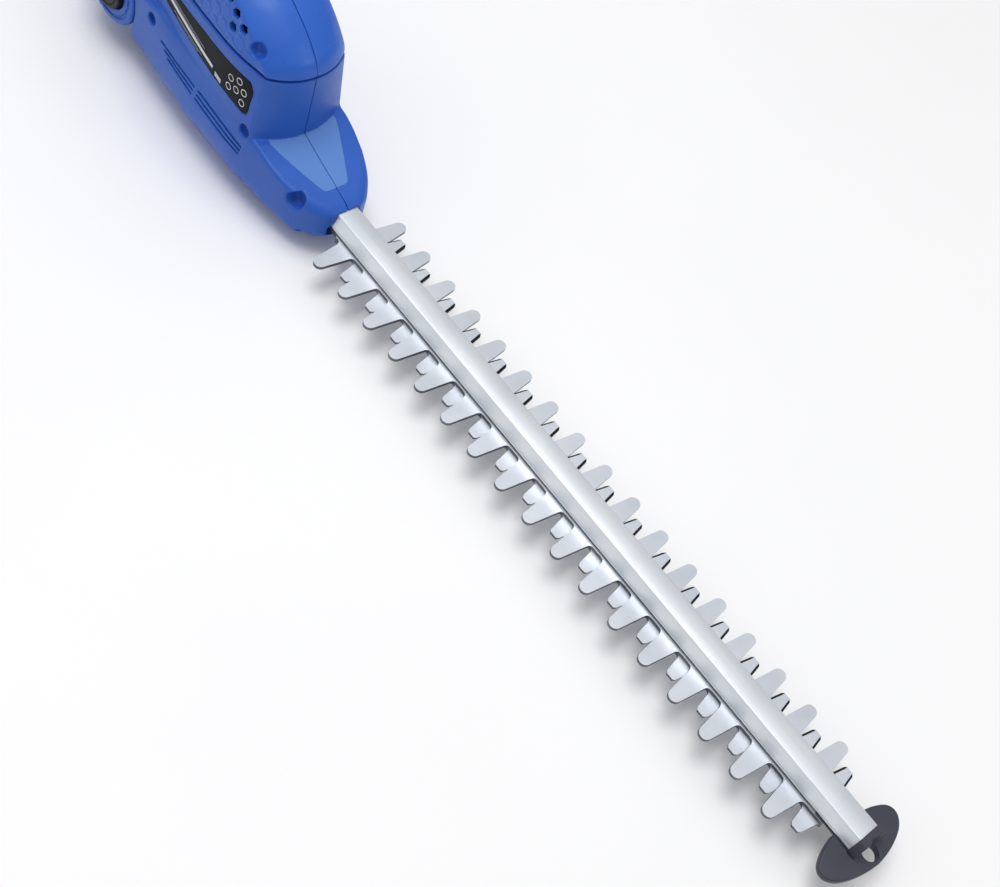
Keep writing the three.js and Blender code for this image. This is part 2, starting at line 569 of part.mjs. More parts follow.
const BUTTON_FLOOR = -27;
const CLAMP_SCREW = { x: -300, reach: 22 };
function hingeDrum() {
  const profile = [[0, -DRUM_HALF], [DRUM_R - 2.5, -DRUM_HALF], [DRUM_R, -DRUM_HALF + 2.5],
    [DRUM_R, DRUM_HALF - 2.5], [DRUM_R - 2.5, DRUM_HALF], [0, DRUM_HALF]];
  const drum = turned('y', profile, HINGE, BIG);
  const neck = turned('x', [[0, -325], [18, -325], [20, -322], [24, -252], [0, -252]], [0, 0, HINGE_Z], BIG);
  const clamp = box([-312, -12, HINGE_Z - 27], [-288, 12, HINGE_Z + 27]);
  const tongueSlot = box([-250, -SLOT_HALF, -60], [-200, SLOT_HALF, 90]);
  const eyeRoom = rod('y', EYE_R + 1.6, -SLOT_HALF, SLOT_HALF, HINGE, BIG);
  const tubeBore = rod('x', FRONT_TUBE.r + 0.2, -330, FRONT_TUBE.to + GAP, [0, 0, HINGE_Z], BIG);
  const buttonPocket = rod('y', BUTTON_R + 0.6, -60, BUTTON_FLOOR, HINGE, BIG);
  const nutPocket = rod('y', 8.3, -60, -21, HINGE, 6);
  const headPocket = rod('y', 8.3, 28, 60, HINGE);
  const boltHole = rod('y', BOLT_HOLE_R, -60, 60, HINGE);
  return cut(joined(drum, neck, clamp), tongueSlot, eyeRoom, tubeBore, buttonPocket, nutPocket, headPocket,
    boltHole);
}
const wholeDrum = hingeDrum();
piece('hinge_drum_left', wholeDrum.intersect(box([-340, GAP / 2, -60], [-200, 60, 90])), BLUE);
piece('hinge_drum_right', wholeDrum.intersect(box([-340, -60, -60], [-200, -GAP / 2, 90])), BLUE);
piece('pivot_bolt', screw('y', [HINGE_X, 32.7, HINGE_Z], -1, 7.6, 4.4, 4, 50), STEEL);
const nutBlank = rod('y', 7.8, -26.5, -21.3, HINGE, 6);
piece('pivot_nut', cut(nutBlank, rod('y', BOLT_HOLE_R, -40, 0, HINGE)), STEEL);
const buttonProfile = [[0, -31.5], [BUTTON_R, -31.5], [BUTTON_R, -37], [BUTTON_R - 2, -38.5], [0, -38.5]];
piece('tilt_lock_button', turned('y', buttonProfile.reverse(), HINGE, BIG), BLACK);
piece('button_spring', ring('y', 12, 9.4, -31.2, BUTTON_FLOOR - GAP, HINGE), STEEL);

// ---------------------------------------------------------------- pole
const POLE = [0, 0, HINGE_Z];
function tube({ r, wall, from, to }) {
  return ring('x', r, r - wall, from, to, POLE, BIG);
}
piece('front_tube', tube(FRONT_TUBE), ALUMINIUM);
piece('rear_tube', tube(REAR_TUBE), BLACK);

function lockCollar() {
  const profile = [[14.6, -345], [21, -345], [24, -350], [24, -386], [21.5, -394], [17.8, -394],
    [17.8, -351], [14.6, -351], [14.6, -345]];
  const body = turned('x', profile.reverse(), POLE, BIG);
  const rib = box([-386, -1.6, HINGE_Z + 22.5], [-350, 1.6, HINGE_Z + 25.4]);
  const ribs = [];
  for (let k = 0; k < 8; k += 1) {
    ribs.push(rib.translate([0, 0, -HINGE_Z]).rotate([k * 45, 0, 0]).translate([0, 0, HINGE_Z]));
  }
  return joined(body, ...ribs);
}
piece('length_lock_collar', lockCollar(), BLACK);
piece('foam_grip', ring('x', 21.5, 17.8, -705, -505, POLE, BIG), RUBBER);

function strapClamp() {
  const band = ring('x', 21.5, 17.8, -456, -434, POLE, BIG);
  const ear = box([-456, -3.5, HINGE_Z + 20], [-434, 3.5, HINGE_Z + 36]);
  return cut(joined(band, ear), rod('y', 5.5, -10, 10, [-445, 0, HINGE_Z + 28]));
}
piece('strap_clamp', strapClamp(), BLACK);

// ---------------------------------------------------------------- rear handle
const GRIP_TOP = 57.5;
const HANDLE_SIDE = [[HANDLE_FRONT, 3], [HANDLE_FRONT, 41], [-925, 50], [-962, 56], [-1000, GRIP_TOP],
  [-1095, GRIP_TOP], [-1132, 53], [-1150, 40], [HANDLE_REAR, 14], [-1153, -10], [-1140, REST_Z],
  [-968, REST_Z], [-938, -12], [-905, 1]];
const FINGER_GAP = [[-1110, -13], [-992, -13], [-976, -3], [-976, 10], [-990, 18.5], [-1104, 18.5],
  [-1119, 9], [-1119, -4]];
const TUBE_COLLAR_R = 22;
const GLAND_Z = 16;

function handleShell() {
  const outer = alongY(rounded(HANDLE_SIDE, 6), -HANDLE_HALF, HANDLE_HALF, 2);
  const collar = rod('x', TUBE_COLLAR_R, -918, HANDLE_FRONT, POLE, BIG);
  const fingers = alongY(rounded(FINGER_GAP, 6), -60, 60, 2);
  const innerHalf = HANDLE_HALF - HANDLE_WALL;
  const room = alongY(outline(inset(HANDLE_SIDE, HANDLE_WALL)), -innerHalf, innerHalf);
  const fingerWall = alongY(outline(inset(FINGER_GAP, -HANDLE_WALL)), -60, 60);
  const tubeBore = rod('x', REAR_TUBE.r + GAP, REAR_TUBE.from - GAP, HANDLE_FRONT + 5, POLE, BIG);
  const triggerSlot = box([-1036, -6.4, 12], [-970, 6.4, 24]);
  const lockSlot = box([-1005, -5.5, 50], [-981, 5.5, 62]);
  const glandHole = rod('x', 7.3, -1170, -1140, [0, 0, GLAND_Z]);
  return cut(joined(outer, collar), cut(room, fingerWall), fingers, tubeBore, triggerSlot, lockSlot, glandHole);
}
const wholeHandle = handleShell();
piece('handle_left', wholeHandle.intersect(box([-1200, GAP / 2, -60], [-800, 60, 90])), BLUE);
piece('handle_right', wholeHandle.intersect(box([-1200, -60, -60], [-800, -GAP / 2, 90])), BLUE);

const TRIGGER_PIVOT = [-974, 27];
function trigger() {
  const shape = rounded([[-968, 31], [-980, 33], [-1024, 30], [-1034, 22], [-1033, 9], [-1022, 5],
    [-1004, 4], [-988, 8], [-977, 17], [-968, 23]], 3);
  const lever = alongY(shape, -5.8, 5.8, 3);
  return cut(lever, rod('y', 2.4, -10, 10, [TRIGGER_PIVOT[0], 0, TRIGGER_PIVOT[1]], SMALL));
}
piece('trigger', trigger(), BLACK);
piece('lock_off_button', joined(box([-1004, -4.9, 46], [-982, 4.9, 61.5]), box([-1007, -8, 46], [-979, 8, 49])), BLACK);
piece('power_switch', box([-962, -9, 30], [-926, 9, 46]), BLACK);

function cableGland() {
  const profile = [[3.7, GLAND_REAR], [6, GLAND_REAR], [9, -1158.5], [7, -1158.2], [7, -1148], [9.6, -1147.8],
    [9.6, -1144.5], [0, -1144.5], [0, -1156], [3.7, -1156], [3.7, GLAND_REAR]];
  return turned('x', profile, [0, 0, GLAND_Z]);
}
piece('cable_gland', cableGland(), RUBBER);

// ---------------------------------------------------------------- origin
// Under the middle of the tool's box, on the level that it lies on.
tool.position.set(-(GLAND_REAR + GUARD_TIP) / 2, 0, -REST_Z);
const scene = new THREE.Group();
scene.add(tool);
export default scene;
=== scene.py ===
# Pole hedge trimmer: the looks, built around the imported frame. Blender 4.5.
# Shapes are written in millimetres in "tool axes", the axes the part is designed in: X = 0 at the
# first long tooth, Y = 0 in the middle plane, Z = 0 on top of the upper blade. to_frame() turns
# them into the frame's metres.
import math

import bmesh
import bpy
import numpy as np
from mathutils import Matrix, Vector


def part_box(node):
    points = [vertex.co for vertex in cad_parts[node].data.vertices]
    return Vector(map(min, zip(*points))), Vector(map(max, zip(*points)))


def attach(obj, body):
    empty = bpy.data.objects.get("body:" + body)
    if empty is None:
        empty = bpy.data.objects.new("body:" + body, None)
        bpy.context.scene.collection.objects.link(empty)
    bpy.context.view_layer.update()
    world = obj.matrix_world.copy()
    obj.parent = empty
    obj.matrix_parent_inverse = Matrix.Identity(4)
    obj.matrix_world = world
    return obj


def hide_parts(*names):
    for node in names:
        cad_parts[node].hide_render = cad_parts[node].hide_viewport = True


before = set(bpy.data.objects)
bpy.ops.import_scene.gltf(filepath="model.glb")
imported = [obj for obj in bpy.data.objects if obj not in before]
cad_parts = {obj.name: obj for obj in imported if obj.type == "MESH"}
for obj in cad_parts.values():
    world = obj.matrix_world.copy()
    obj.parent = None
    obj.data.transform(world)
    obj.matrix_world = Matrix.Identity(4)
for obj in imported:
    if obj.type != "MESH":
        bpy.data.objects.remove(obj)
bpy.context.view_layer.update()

# ---- driving dimensions
PITCH = 26.0                     # tooth spacing
TEETH = 17                       # teeth on each side of a blade
STRIP_END = PITCH * (TEETH - 1) + 23
blade_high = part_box("upper_cutting_blade")[1]
ORIGIN = np.array([blade_high[0] * 1000 - STRIP_END, 0.0, blade_high[2] * 1000])

GAP = 0.3                        # clearance between touching pieces
PARTING = 0.12                   # half the parting gap between two moulded halves
GROOVE_Z = 78.0                  # level of the groove under the motor cover
REST_Z = -24.0                   # level of the flat that the tool lies on
CELL = 0.6    # grid step of the moulded shapes
COARSE = 1.25                    # smaller or plainer mouldings use a coarser grid


def to_frame(points):
    """Millimetres in tool axes to the frame's metres."""
    return (np.asarray(points, float) + ORIGIN) / 1000


def tool_box(node):
    """A CAD node's lowest and highest corner, in tool axes and millimetres."""
    low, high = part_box(node)
    return np.array(low) * 1000 - ORIGIN, np.array(high) * 1000 - ORIGIN


def middle_of(node):
    """The middle of a CAD node's box, in tool axes."""
    low, high = tool_box(node)
    return (low + high) / 2


# ---- fields
# A field gives each point's distance to a surface, negative inside.
FAR = 50.0                       # starting value where the nearest of several things is sought


def line_square(u, v, start, stop):
    """Squared distance to a straight line between two points."""
    eu, ev = stop[0] - start[0], stop[1] - start[1]
    du, dv = u - start[0], v - start[1]
    part = np.clip((du * eu + dv * ev) / (eu * eu + ev * ev), 0, 1)
    du -= eu * part
    dv -= ev * part
    return du * du + dv * dv


def outline(u, v, points):
    """Distance to a closed outline drawn in (u, v)."""
    square = np.full(u.shape, 1e12, np.float32)
    inside = np.zeros(u.shape, bool)
    for (au, av), (bu, bv) in zip(points, points[1:] + points[:1]):
        np.minimum(square, line_square(u, v, (au, av), (bu, bv)), out=square)
        if av != bv:
            inside ^= ((av <= v) != (bv <= v)) & (u < au + (v - av) * ((bu - au) / (bv - av)))
    far = np.sqrt(square)
    return np.where(inside, -far, far)


def eased(points, steps=4):
    """An open polyline turned into a smooth one through the same points."""
    p = np.array([points[0]] + list(points) + [points[-1]], float)
    line = []
    for a, b, c, d in zip(p[:-3], p[1:-2], p[2:-1], p[3:]):
        for t in np.arange(steps) / steps:
            line.append(tuple(0.5 * (2 * b + (c - a) * t + (2 * a - 5 * b + 4 * c - d) * t ** 2
                                     + (3 * b - a - 3 * c + d) * t ** 3)))
    return line + [tuple(points[-1])]


def common(a, b, blend=0.5):
    """The part inside both fields, with the edge between them rounded."""
    near = np.maximum(blend - np.abs(a - b), 0) / blend
    return np.maximum(a, b) + near * near * blend * 0.25


def merged(a, b, blend=0.5):
    """The part inside either field, with a fillet in the corner."""
    return -common(-a, -b, blend)


def without(a, b, blend=0.5):
    """The first field less the second, with a rounded rim."""
    return common(a, -b, blend)


def less(shape, *cuts):
    """The shape less each (field, blend) in turn."""
    for field, blend in cuts:
        shape = without(shape, field, blend)
    return shape


def profile(at, points):
    """Height of a polyline through (position, value) points."""
    positions, values = zip(*sorted(points))
    return np.interp(at, positions, values).astype(np.float32)


def box_field(x, y, z, low, high, blend=0.6):
    """Rounded box."""
    sides = [np.abs(v - (a + b) / 2) - (b - a) / 2 for v, a, b in zip((x, y, z), low, high)]
    return common(common(sides[0], sides[1], blend), sides[2], blend)


def capped_rod(u, v, along, radius, start, stop, blend=0.6):
    """Rod about the origin of (u, v), from start to stop along its axis."""
    ends = np.maximum(start - along, along - stop)
    return common(np.sqrt(u * u + v * v) - radius, ends, blend)


# ---- meshing a field
CORNERS = np.array([[i, j, k] for i in (0, 1) for j in (0, 1) for k in (0, 1)])
EDGES = [(a, b) for a in range(8) for b in range(a + 1, 8) if abs(CORNERS[a] - CORNERS[b]).sum() == 1]
BLOCK = 8                        # grid points along a block that is looked at or left out as one


def sampled(field, low, cell, shape):
    """Field values on a grid. Blocks far from the surface only get their sign."""
    blocks = [-(-n // BLOCK) for n in shape]
    index = np.stack(np.meshgrid(*[np.arange(n) for n in blocks], indexing="ij"), -1).reshape(-1, 3)
    middles = (low + (index * BLOCK + (BLOCK - 1) / 2) * cell).astype(np.float32)
    rough = field(*middles.T)
    values = np.empty([n * BLOCK for n in blocks], np.float32)
    tiles = values.reshape(blocks[0], BLOCK, blocks[1], BLOCK, blocks[2], BLOCK).transpose(0, 2, 4, 1, 3, 5)
    tiles[tuple(index.T)] = rough[:, None, None, None]
    near = index[np.abs(rough) < BLOCK * cell * 1.25]
    step = np.stack(np.meshgrid(*[np.arange(BLOCK)] * 3, indexing="ij"), -1).reshape(-1, 3)
    for start in range(0, len(near), 256):
        some = near[start:start + 256]
        points = (low + (some[:, None] * BLOCK + step[None]) * cell).astype(np.float32).reshape(-1, 3)
        tiles[tuple(some.T)] = field(*points.T).reshape(-1, BLOCK, BLOCK, BLOCK)
    return values


REACH = 0.12                     # step over which a field's slope is measured


def gradient(field, points):
    """How fast a field grows along each axis."""
    slopes = np.empty_like(points)
    for axis in range(3):
        shift = np.zeros(3, np.float32)
        shift[axis] = REACH
        slopes[:, axis] = field(*(points + shift).T) - field(*(points - shift).T)
    return slopes / (2 * REACH)


def normals_of(field, points):
    """Directions straight out of a field's surface."""
    slopes = gradient(field, points)
    return slopes / np.maximum(np.linalg.norm(slopes, axis=1), 1e-6)[:, None]


def surface(field, low, high, cell):
    """Vertices, quads and normals of a field's zero surface."""
    low = np.asarray(low, float) - 1.5 * cell
    shape = [int((b - a) / cell) + 3 for a, b in zip(low, high)]
    values = sampled(field, low, cell, shape)
    inside = values < 0
    count = sum(inside[i:inside.shape[0] - 1 + i, j:inside.shape[1] - 1 + j,
                       k:inside.shape[2] - 1 + k].astype(np.uint8) for i, j, k in CORNERS)
    cells = np.argwhere((count > 0) & (count < 8))
    corner = np.stack([values[tuple((cells + c).T)] for c in CORNERS], 1)
    place = np.zeros((len(cells), 3))
    crossings = np.zeros(len(cells))
    for a, b in EDGES:
        crosses = (corner[:, a] < 0) != (corner[:, b] < 0)
        gap = np.where(crosses, corner[:, a] - corner[:, b], 1)
        part = np.where(crosses, corner[:, a] / gap, 0)[:, None]
        place += np.where(crosses[:, None], CORNERS[a] + part * (CORNERS[b] - CORNERS[a]), 0)
        crossings += crosses
    points = (low + (cells + place / crossings[:, None]) * cell).astype(np.float32)
    middle = points.copy()
    for _ in range(2):
        slope = gradient(field, points)
        steep = np.maximum((slope ** 2).sum(1), 0.2)
        points -= slope * (field(*points.T) / steep)[:, None]
        points = np.clip(points, middle - 0.6 * cell, middle + 0.6 * cell)
    normals = normals_of(field, points)
    number = np.full(count.shape, -1, np.int32)
    number[tuple(cells.T)] = np.arange(len(cells))
    quads = []
    for axis in range(3):
        u, v = (axis + 1) % 3, (axis + 2) % 3
        ahead = np.roll(inside, -1, axis)
        edges = np.argwhere(inside != ahead)
        edges = edges[(edges[:, axis] < inside.shape[axis] - 1) & (edges[:, u] > 0) & (edges[:, v] > 0)]
        outward = inside[tuple(edges.T)]
        ring = []
        for du, dv in ((0, 0), (1, 0), (1, 1), (0, 1)):
            near = edges.copy()
            near[:, u] -= du
            near[:, v] -= dv
            ring.append(number[tuple(near.T)])
        ring = np.stack(ring, 1)
        quads.append(np.where(outward[:, None], ring, ring[:, ::-1]))
    return points, np.concatenate(quads), normals


def added(name, data):
    """A new object in the scene."""
    piece = bpy.data.objects.new(name, data)
    bpy.context.scene.collection.objects.link(piece)
    return piece


def applied(piece):
    """Turns a piece's modifiers into plain mesh."""
    ready = piece.evaluated_get(bpy.context.evaluated_depsgraph_get())
    piece.modifiers.clear()
    piece.data = bpy.data.meshes.new_from_object(ready)


def dressed(piece, look, body, replaces=()):
    """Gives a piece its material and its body."""
    piece.data.materials.clear()
    piece.data.materials.append(look)
    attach(piece, body)
    if replaces:
        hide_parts(*replaces)
    return piece


def moulded(name, field, low, high, cell, look, body, replaces, facets):
    """A piece whose surface is a field's zero surface, thinned to about the given number of facets."""
    points, quads, normals = surface(field, low, high, cell)
    mesh = bpy.data.meshes.new(name)
    mesh.vertices.add(len(points))
    mesh.vertices.foreach_set("co", to_frame(points).astype(np.float32).ravel())
    mesh.loops.add(quads.size)
    mesh.loops.foreach_set("vertex_index", quads.ravel().astype(np.int32))
    mesh.polygons.add(len(quads))
    mesh.polygons.foreach_set("loop_start", np.arange(0, quads.size, 4, dtype=np.int32))
    mesh.update(calc_edges=True)
    mesh.validate()
    piece = added(name, mesh)
    if 2 * len(quads) > facets:
        thin = piece.modifiers.new("thin", "DECIMATE")
        thin.ratio = facets / (2 * len(quads))
        applied(piece)
        piece.data.name = name
        points = np.empty(len(piece.data.vertices) * 3, np.float32)
        piece.data.vertices.foreach_get("co", points)
        points = (points.reshape(-1, 3) * 1000 - ORIGIN).astype(np.float32)
        normals = normals_of(field, points)
    piece.data.shade_smooth()
    piece.data.normals_split_custom_set_from_vertices(normals.tolist())
    return dressed(piece, look, body, replaces)


def moulded_halves(name, field, low, high, cell, look, body, replaced, facets, blend=0.6):
    """Left and right half of a moulding that parts at Y = 0."""
    for side, word in ((1, "left"), (-1, "right")):
        def half(x, y, z, side=side):
            return common(field(x, y, z), PARTING - y * side, blend)
        near = (low[0], 0, low[2]) if side > 0 else low
        far = high if side > 0 else (high[0], 0, high[2])
        moulded(f"{name}_{word}", half, near, far, cell, look, body, [f"{replaced}_{word}"], facets)


# ---- materials
def linear(hex_colour):
    """An sRGB colour such as "3a66c0" as the linear numbers a shader takes."""
    parts = [int(hex_colour[i:i + 2], 16) / 255 for i in (0, 2, 4)]
    return tuple(p / 12.92 if p < 0.04045 else ((p + 0.055) / 1.055) ** 2.4 for p in parts) + (1,)


def filled(node, **values):
    """Sets a shader node's inputs by name, with _ for a space."""
    for key, value in values.items():
        node.inputs[key.replace("_", " ")].default_value = value
    return node


def with_stops(node, stops):
    """Gives a colour ramp its (position, colour) stops, in rising order."""
    points = node.color_ramp.elements
    for position, colour in stops[1:-1]:
        points.new(position)
    for point, (position, colour) in zip(points, stops):
        point.position = position
        point.color = colour
    return node


class Look:
    """A node material, built on the object's own coordinates in metres."""

    def __init__(self, name):
        self.material = bpy.data.materials.new(name)
        self.material.use_nodes = True
        self.tree = self.material.node_tree
        self.shader = self.tree.nodes["Principled BSDF"]
        self.place = self.add("ShaderNodeTexCoord").outputs["Object"]

    def add(self, kind, **values):
        return filled(self.tree.nodes.new(kind), **values)

    def link(self, out, into):
        self.tree.links.new(out, into)

    def stretched(self, scale):
        """The object's coordinates scaled by three numbers."""
        node = self.add("ShaderNodeMapping", Scale=scale)
        self.link(self.place, node.inputs["Vector"])
        return node.outputs["Vector"]

    def noise(self, scale, detail=3.0, where=None):
        node = self.add("ShaderNodeTexNoise", Scale=scale, Detail=detail, Roughness=0.55)
        self.link(where or self.place, node.inputs["Vector"])
        return node.outputs["Fac"]

    def colours(self, value, first, second):
        """Base colour that drifts between two."""
        ramp = with_stops(self.add("ShaderNodeValToRGB"), [(0.35, linear(first)), (0.65, linear(second))])
        self.link(value, ramp.inputs["Fac"])
        self.link(ramp.outputs["Color"], self.shader.inputs["Base Color"])

    def rough(self, value, low, high):
        """Roughness that drifts between two values."""
        node = self.add("ShaderNodeMapRange", From_Min=0.3, From_Max=0.7, To_Min=low, To_Max=high)
        self.link(value, node.inputs["Value"])
        self.link(node.outputs["Result"], self.shader.inputs["Roughness"])

    def bump(self, value, strength, distance, after=None):
        """Relief on the surface, on top of an earlier one where given."""
        node = self.add("ShaderNodeBump", Strength=strength, Distance=distance)
        self.link(value, node.inputs["Height"])
        if after is not None:
            self.link(after, node.inputs["Normal"])
        self.link(node.outputs["Normal"], self.shader.inputs["Normal"])
        return node.outputs["Normal"]


def plastic(name, first, second, low, high, grain=1500, depth=0.00005, gloss=0.32):
    """Moulded plastic: slight colour drift, a fine spark-eroded grain and faint sink marks."""
    look = Look(name)
    look.colours(look.noise(14), first, second)
    look.rough(look.noise(90), low, high)
    fine = look.bump(look.noise(grain, 2.0), 0.35, depth)
    look.bump(look.noise(35, 1.0), 0.08, 0.0004, fine)
    filled(look.shader, IOR=1.49, Specular_IOR_Level=gloss)
    return look.material


def metal(name, first, second, low, high, stretch, scale, depth=0.00003, metallic=1.0):
    """Worked metal, its fine marks drawn out along one direction."""
    look = Look(name)
    marks = look.noise(scale, 4.0, look.stretched(stretch))
    look.colours(look.noise(22), first, second)
    look.rough(marks, low, high)
    look.bump(marks, 0.3, depth)
    filled(look.shader, Metallic=metallic)
    return look.material


def foam(name, first, second):
    """Closed-cell foam: small pits all over."""
    look = Look(name)
    cells = look.add("ShaderNodeTexVoronoi", Scale=900.0)
    look.link(look.place, cells.inputs["Vector"])
    look.colours(look.noise(60), first, second)
    look.rough(look.noise(200), 0.78, 0.95)
    look.bump(cells.outputs["Distance"], 0.6, 0.00025)
    filled(look.shader, IOR=1.45)
    return look.material


BLUE = plastic("blue_plastic", "2a5cba", "2f63c2", 0.34, 0.44)
COVER_BLUE = plastic("cover_blue", "2c60c2", "3167c8", 0.27, 0.36, grain=2200, depth=0.00003)
PAD_BLUE = plastic("pad_blue", "5785cb", "5d8bd0", 0.42, 0.5, grain=2600, depth=0.00004)
BLACK = plastic("black_plastic", "18191c", "1f2023", 0.42, 0.55, depth=0.00007)
CHARCOAL = plastic("charcoal_plastic", "393b44", "424450", 0.38, 0.5, grain=1100, depth=0.00008)
FILM = plastic("label_film", "0c0d0f", "101114", 0.42, 0.5, grain=3000, depth=0.00001, gloss=0.12)
PRINT = plastic("label_print", "d9dcdf", "e4e6e8", 0.35, 0.45, grain=3000, depth=0.00001)
GREY_PRINT = plastic("label_grey", "85898f", "8f9399", 0.35, 0.45, grain=3000, depth=0.00001)
ALUMINIUM = metal("bar_aluminium", "e4eaef", "ecf1f5", 0.3, 0.42, (3, 260, 260), 6, metallic=0.92)
POLE_ALUMINIUM = metal("pole_aluminium", "c9cdd1", "d6d9dc", 0.26, 0.38, (4, 300, 300), 6)
BLACK_TUBE = plastic("black_tube", "1b1c1f", "222327", 0.3, 0.4, grain=1800)
BLADE = metal("blade_steel", "cbd1d9", "d9dee5", 0.34, 0.5, (40, 200, 200), 10, metallic=0.75)
# Painted shade: the ground bevels of the short teeth get a near-black colour that stands for the shadow on
# them, not the bright colour of ground steel.
BEVEL_PAINTED_SHADE = plastic("ground_bevel_painted_shade", "1e1f22", "2a2b2f", 0.45, 0.6, grain=1200, depth=0.00002, gloss=0.12)
# The blade plates' upright walls are darker than the top partly for the rougher sheared finish and partly as
# painted shade on walls that face away from the light.
SHEARED_AND_SHADE = metal("sheared_edge_and_painted_shade", "5c6066", "74787e", 0.4, 0.55, (60, 60, 400), 10, metallic=0.85)
CASTING = metal("cast_metal", "9b9ea1", "adb0b3", 0.45, 0.65, (150, 150, 150), 6, 0.0001)
STEEL = metal("bright_steel", "bfc2c5", "d2d4d6", 0.2, 0.34, (150, 150, 150), 8)
DARK_STEEL = metal("dark_steel", "3c3e42", "4c4e52", 0.34, 0.5, (150, 150, 150), 8)
COPPER = metal("copper", "a4552f", "c06e43", 0.28, 0.42, (200, 200, 900), 8, 0.0002)
CARBON = plastic("carbon", "1d1d1f", "28282a", 0.7, 0.85, grain=900)
FOAM = foam("grip_foam", "1c1d1f", "26272a")
RUBBER = plastic("rubber", "18181a", "222224", 0.7, 0.85, grain=900, depth=0.0001)


# ---- head housing
UNDERSIDE = [(-214, -8), (-212, -14), (-204, -20), (-190, REST_Z)] + eased(
    [(-104, REST_Z), (-84, -22.6), (-60, -19), (-38, -14.5), (-24, -11), (-17, -7.5)], 3)
NOSE_TOP = [(-16, -4), (-16, 13)] + eased(
    [(-17, 14.4), (-27, 17.6), (-43.2, 22), (-56.7, 26.2), (-72, 31.2)], 3)
HULL_BACK = [(-182, 46), (-210, 42)]
COVER_TOP = eased([(-69.4, 79), (-72.8, 87.5), (-78.3, 93.4), (-84.9, 99.2), (-94.3, 105.2), (-104, 110.3),
                   (-116, 115), (-130, 117.8), (-146, 117.4), (-160, 112), (-184, 90), (-200, 68),
                   (-207, 50)], 10)
COVER_EDGE = eased([(-69, 78.6), (-80, 79.6), (-84, 84), (-88, 87.8), (-95, 93), (-102, 98), (-112, 103.6),
                    (-124, 107.5), (-146, 107), (-160, 102), (-184, 86), (-200, 79.5), (-207, 79)])
PLAN = eased([(-16, 10.5), (-19, 14.8), (-24, 20), (-32, 25.7), (-41, 29.4), (-54, 32.4), (-78, 36.2),
              (-100, 39.2), (-120, 39.9), (-150, 38.9), (-180, 36.8), (-214, 34)], 3)
VALLEY = eased([(-60, 26), (-79, 28), (-132, 34), (-181, 47), (-214, 53)])
BASE_SIDE = eased([(-214, 28), (-186, 32), (-150, 34.6), (-110, 35.2), (-84, 35.4), (-80, 34.8)])
GROOVE_SIDE = eased([(-210, 28), (-186, 31), (-154, 33), (-119, 34.2), (-100, 33), (-80, 28.8)])
HULL_HALF = 40.4
FLANK = [(24, REST_Z), (34.2, -11.5), (HULL_HALF, 7)]    # (across, z) up the hull's lower side
RIDGE_Z = 11.0
HULL_TOP_Z = 31.0
TOWER_X = -70.0                  # front of the tower in the middle plane
COVER_X = -69.4                  # front of the motor cover there
FRONT_HALF = 29.0                # half the width that the front's curve is drawn over
FRONT_BULGE = 10.3               # how far the front curves back over that width
BACK_X = -207.0
WALL = 2.4                       # least wall of the two housings


def leaning(across, z, foot, head):
    """Distance past a straight side that rises from foot to head, both (across, z)."""
    run, rise = head[0] - foot[0], head[1] - foot[1]
    length = math.hypot(run, rise)
    return ((across - foot[0]) * rise - (z - foot[1]) * run) / length


def hull_field(x, y, z):
    """The long lower body, from the nose to the hinge end."""
    across = np.abs(y)
    side = outline(x, z, UNDERSIDE + NOSE_TOP + HULL_BACK)
    plan = outline(x, across, [(-16, -40)] + PLAN + [(-214, -40)])
    # The lower side rises towards the nose and towards the hinge.
    lifted = z - np.clip((x + 92) / 6, 0, 9) - np.clip((-146 - x) / 6, 0, 9)
    lower = common(leaning(across, lifted, *FLANK[:2]), leaning(across, lifted, *FLANK[1:]), 5)
    crease = profile(x, VALLEY)
    shoulder = (across - HULL_HALF + 5 * (z - RIDGE_Z) / (crease - RIDGE_Z)) * 0.97
    section = common(lower, common(shoulder, across - HULL_HALF, 1.5), 4)
    soft = 3.0 + np.clip((x + 48) / 4, 0, 5)
    return common(common(side, plan, soft), section, 2.5)


def front_x(y, z):
    """Where the tower's front wall stands."""
    width = FRONT_HALF + 6 * np.clip((GROOVE_Z - z) / (GROOVE_Z - HULL_TOP_Z), 0, 1)
    return TOWER_X - FRONT_BULGE * (np.abs(y) / width) ** 2.2


def tower_side(x, z):
    """Half width of the tower."""
    rise = np.clip((z - HULL_TOP_Z) / (GROOVE_Z - HULL_TOP_Z), 0, 1)
    return profile(x, BASE_SIDE) * (1 - rise) + profile(x, GROOVE_SIDE) * rise


def tower_field(x, y, z):
    """The upright part under the cover."""
    ahead = (x - front_x(y, z)) * 0.9
    wall = common(ahead, np.abs(y) - tower_side(x, z), 2.0)
    return common(np.maximum(wall, BACK_X - x), np.maximum(z - GROOVE_Z, -6 - z), 0.8)


def cover_field(x, y, z):
    """The motor cover above the groove."""
    across = np.abs(y)
    bulge = FRONT_BULGE * (across / FRONT_HALF) ** 2.2
    crown = profile(x + np.minimum(bulge, 14), COVER_TOP) - 4.8 * (across / FRONT_HALF) ** 2.4
    top = (z - crown) * 0.62
    ahead = (x - COVER_X + bulge) * 0.9
    edge = profile(x, COVER_EDGE)
    rise = np.clip((z - GROOVE_Z) / np.maximum(edge - GROOVE_Z, 1.5), 0, 1.5)
    side = (across - (profile(x, GROOVE_SIDE) - 0.7) * (1 - rise) - 30 * rise) * 0.9
    shape = common(common(top, ahead, 2.5), side, 1.6)
    return common(np.maximum(shape, BACK_X - x), GROOVE_Z - z, 0.8)


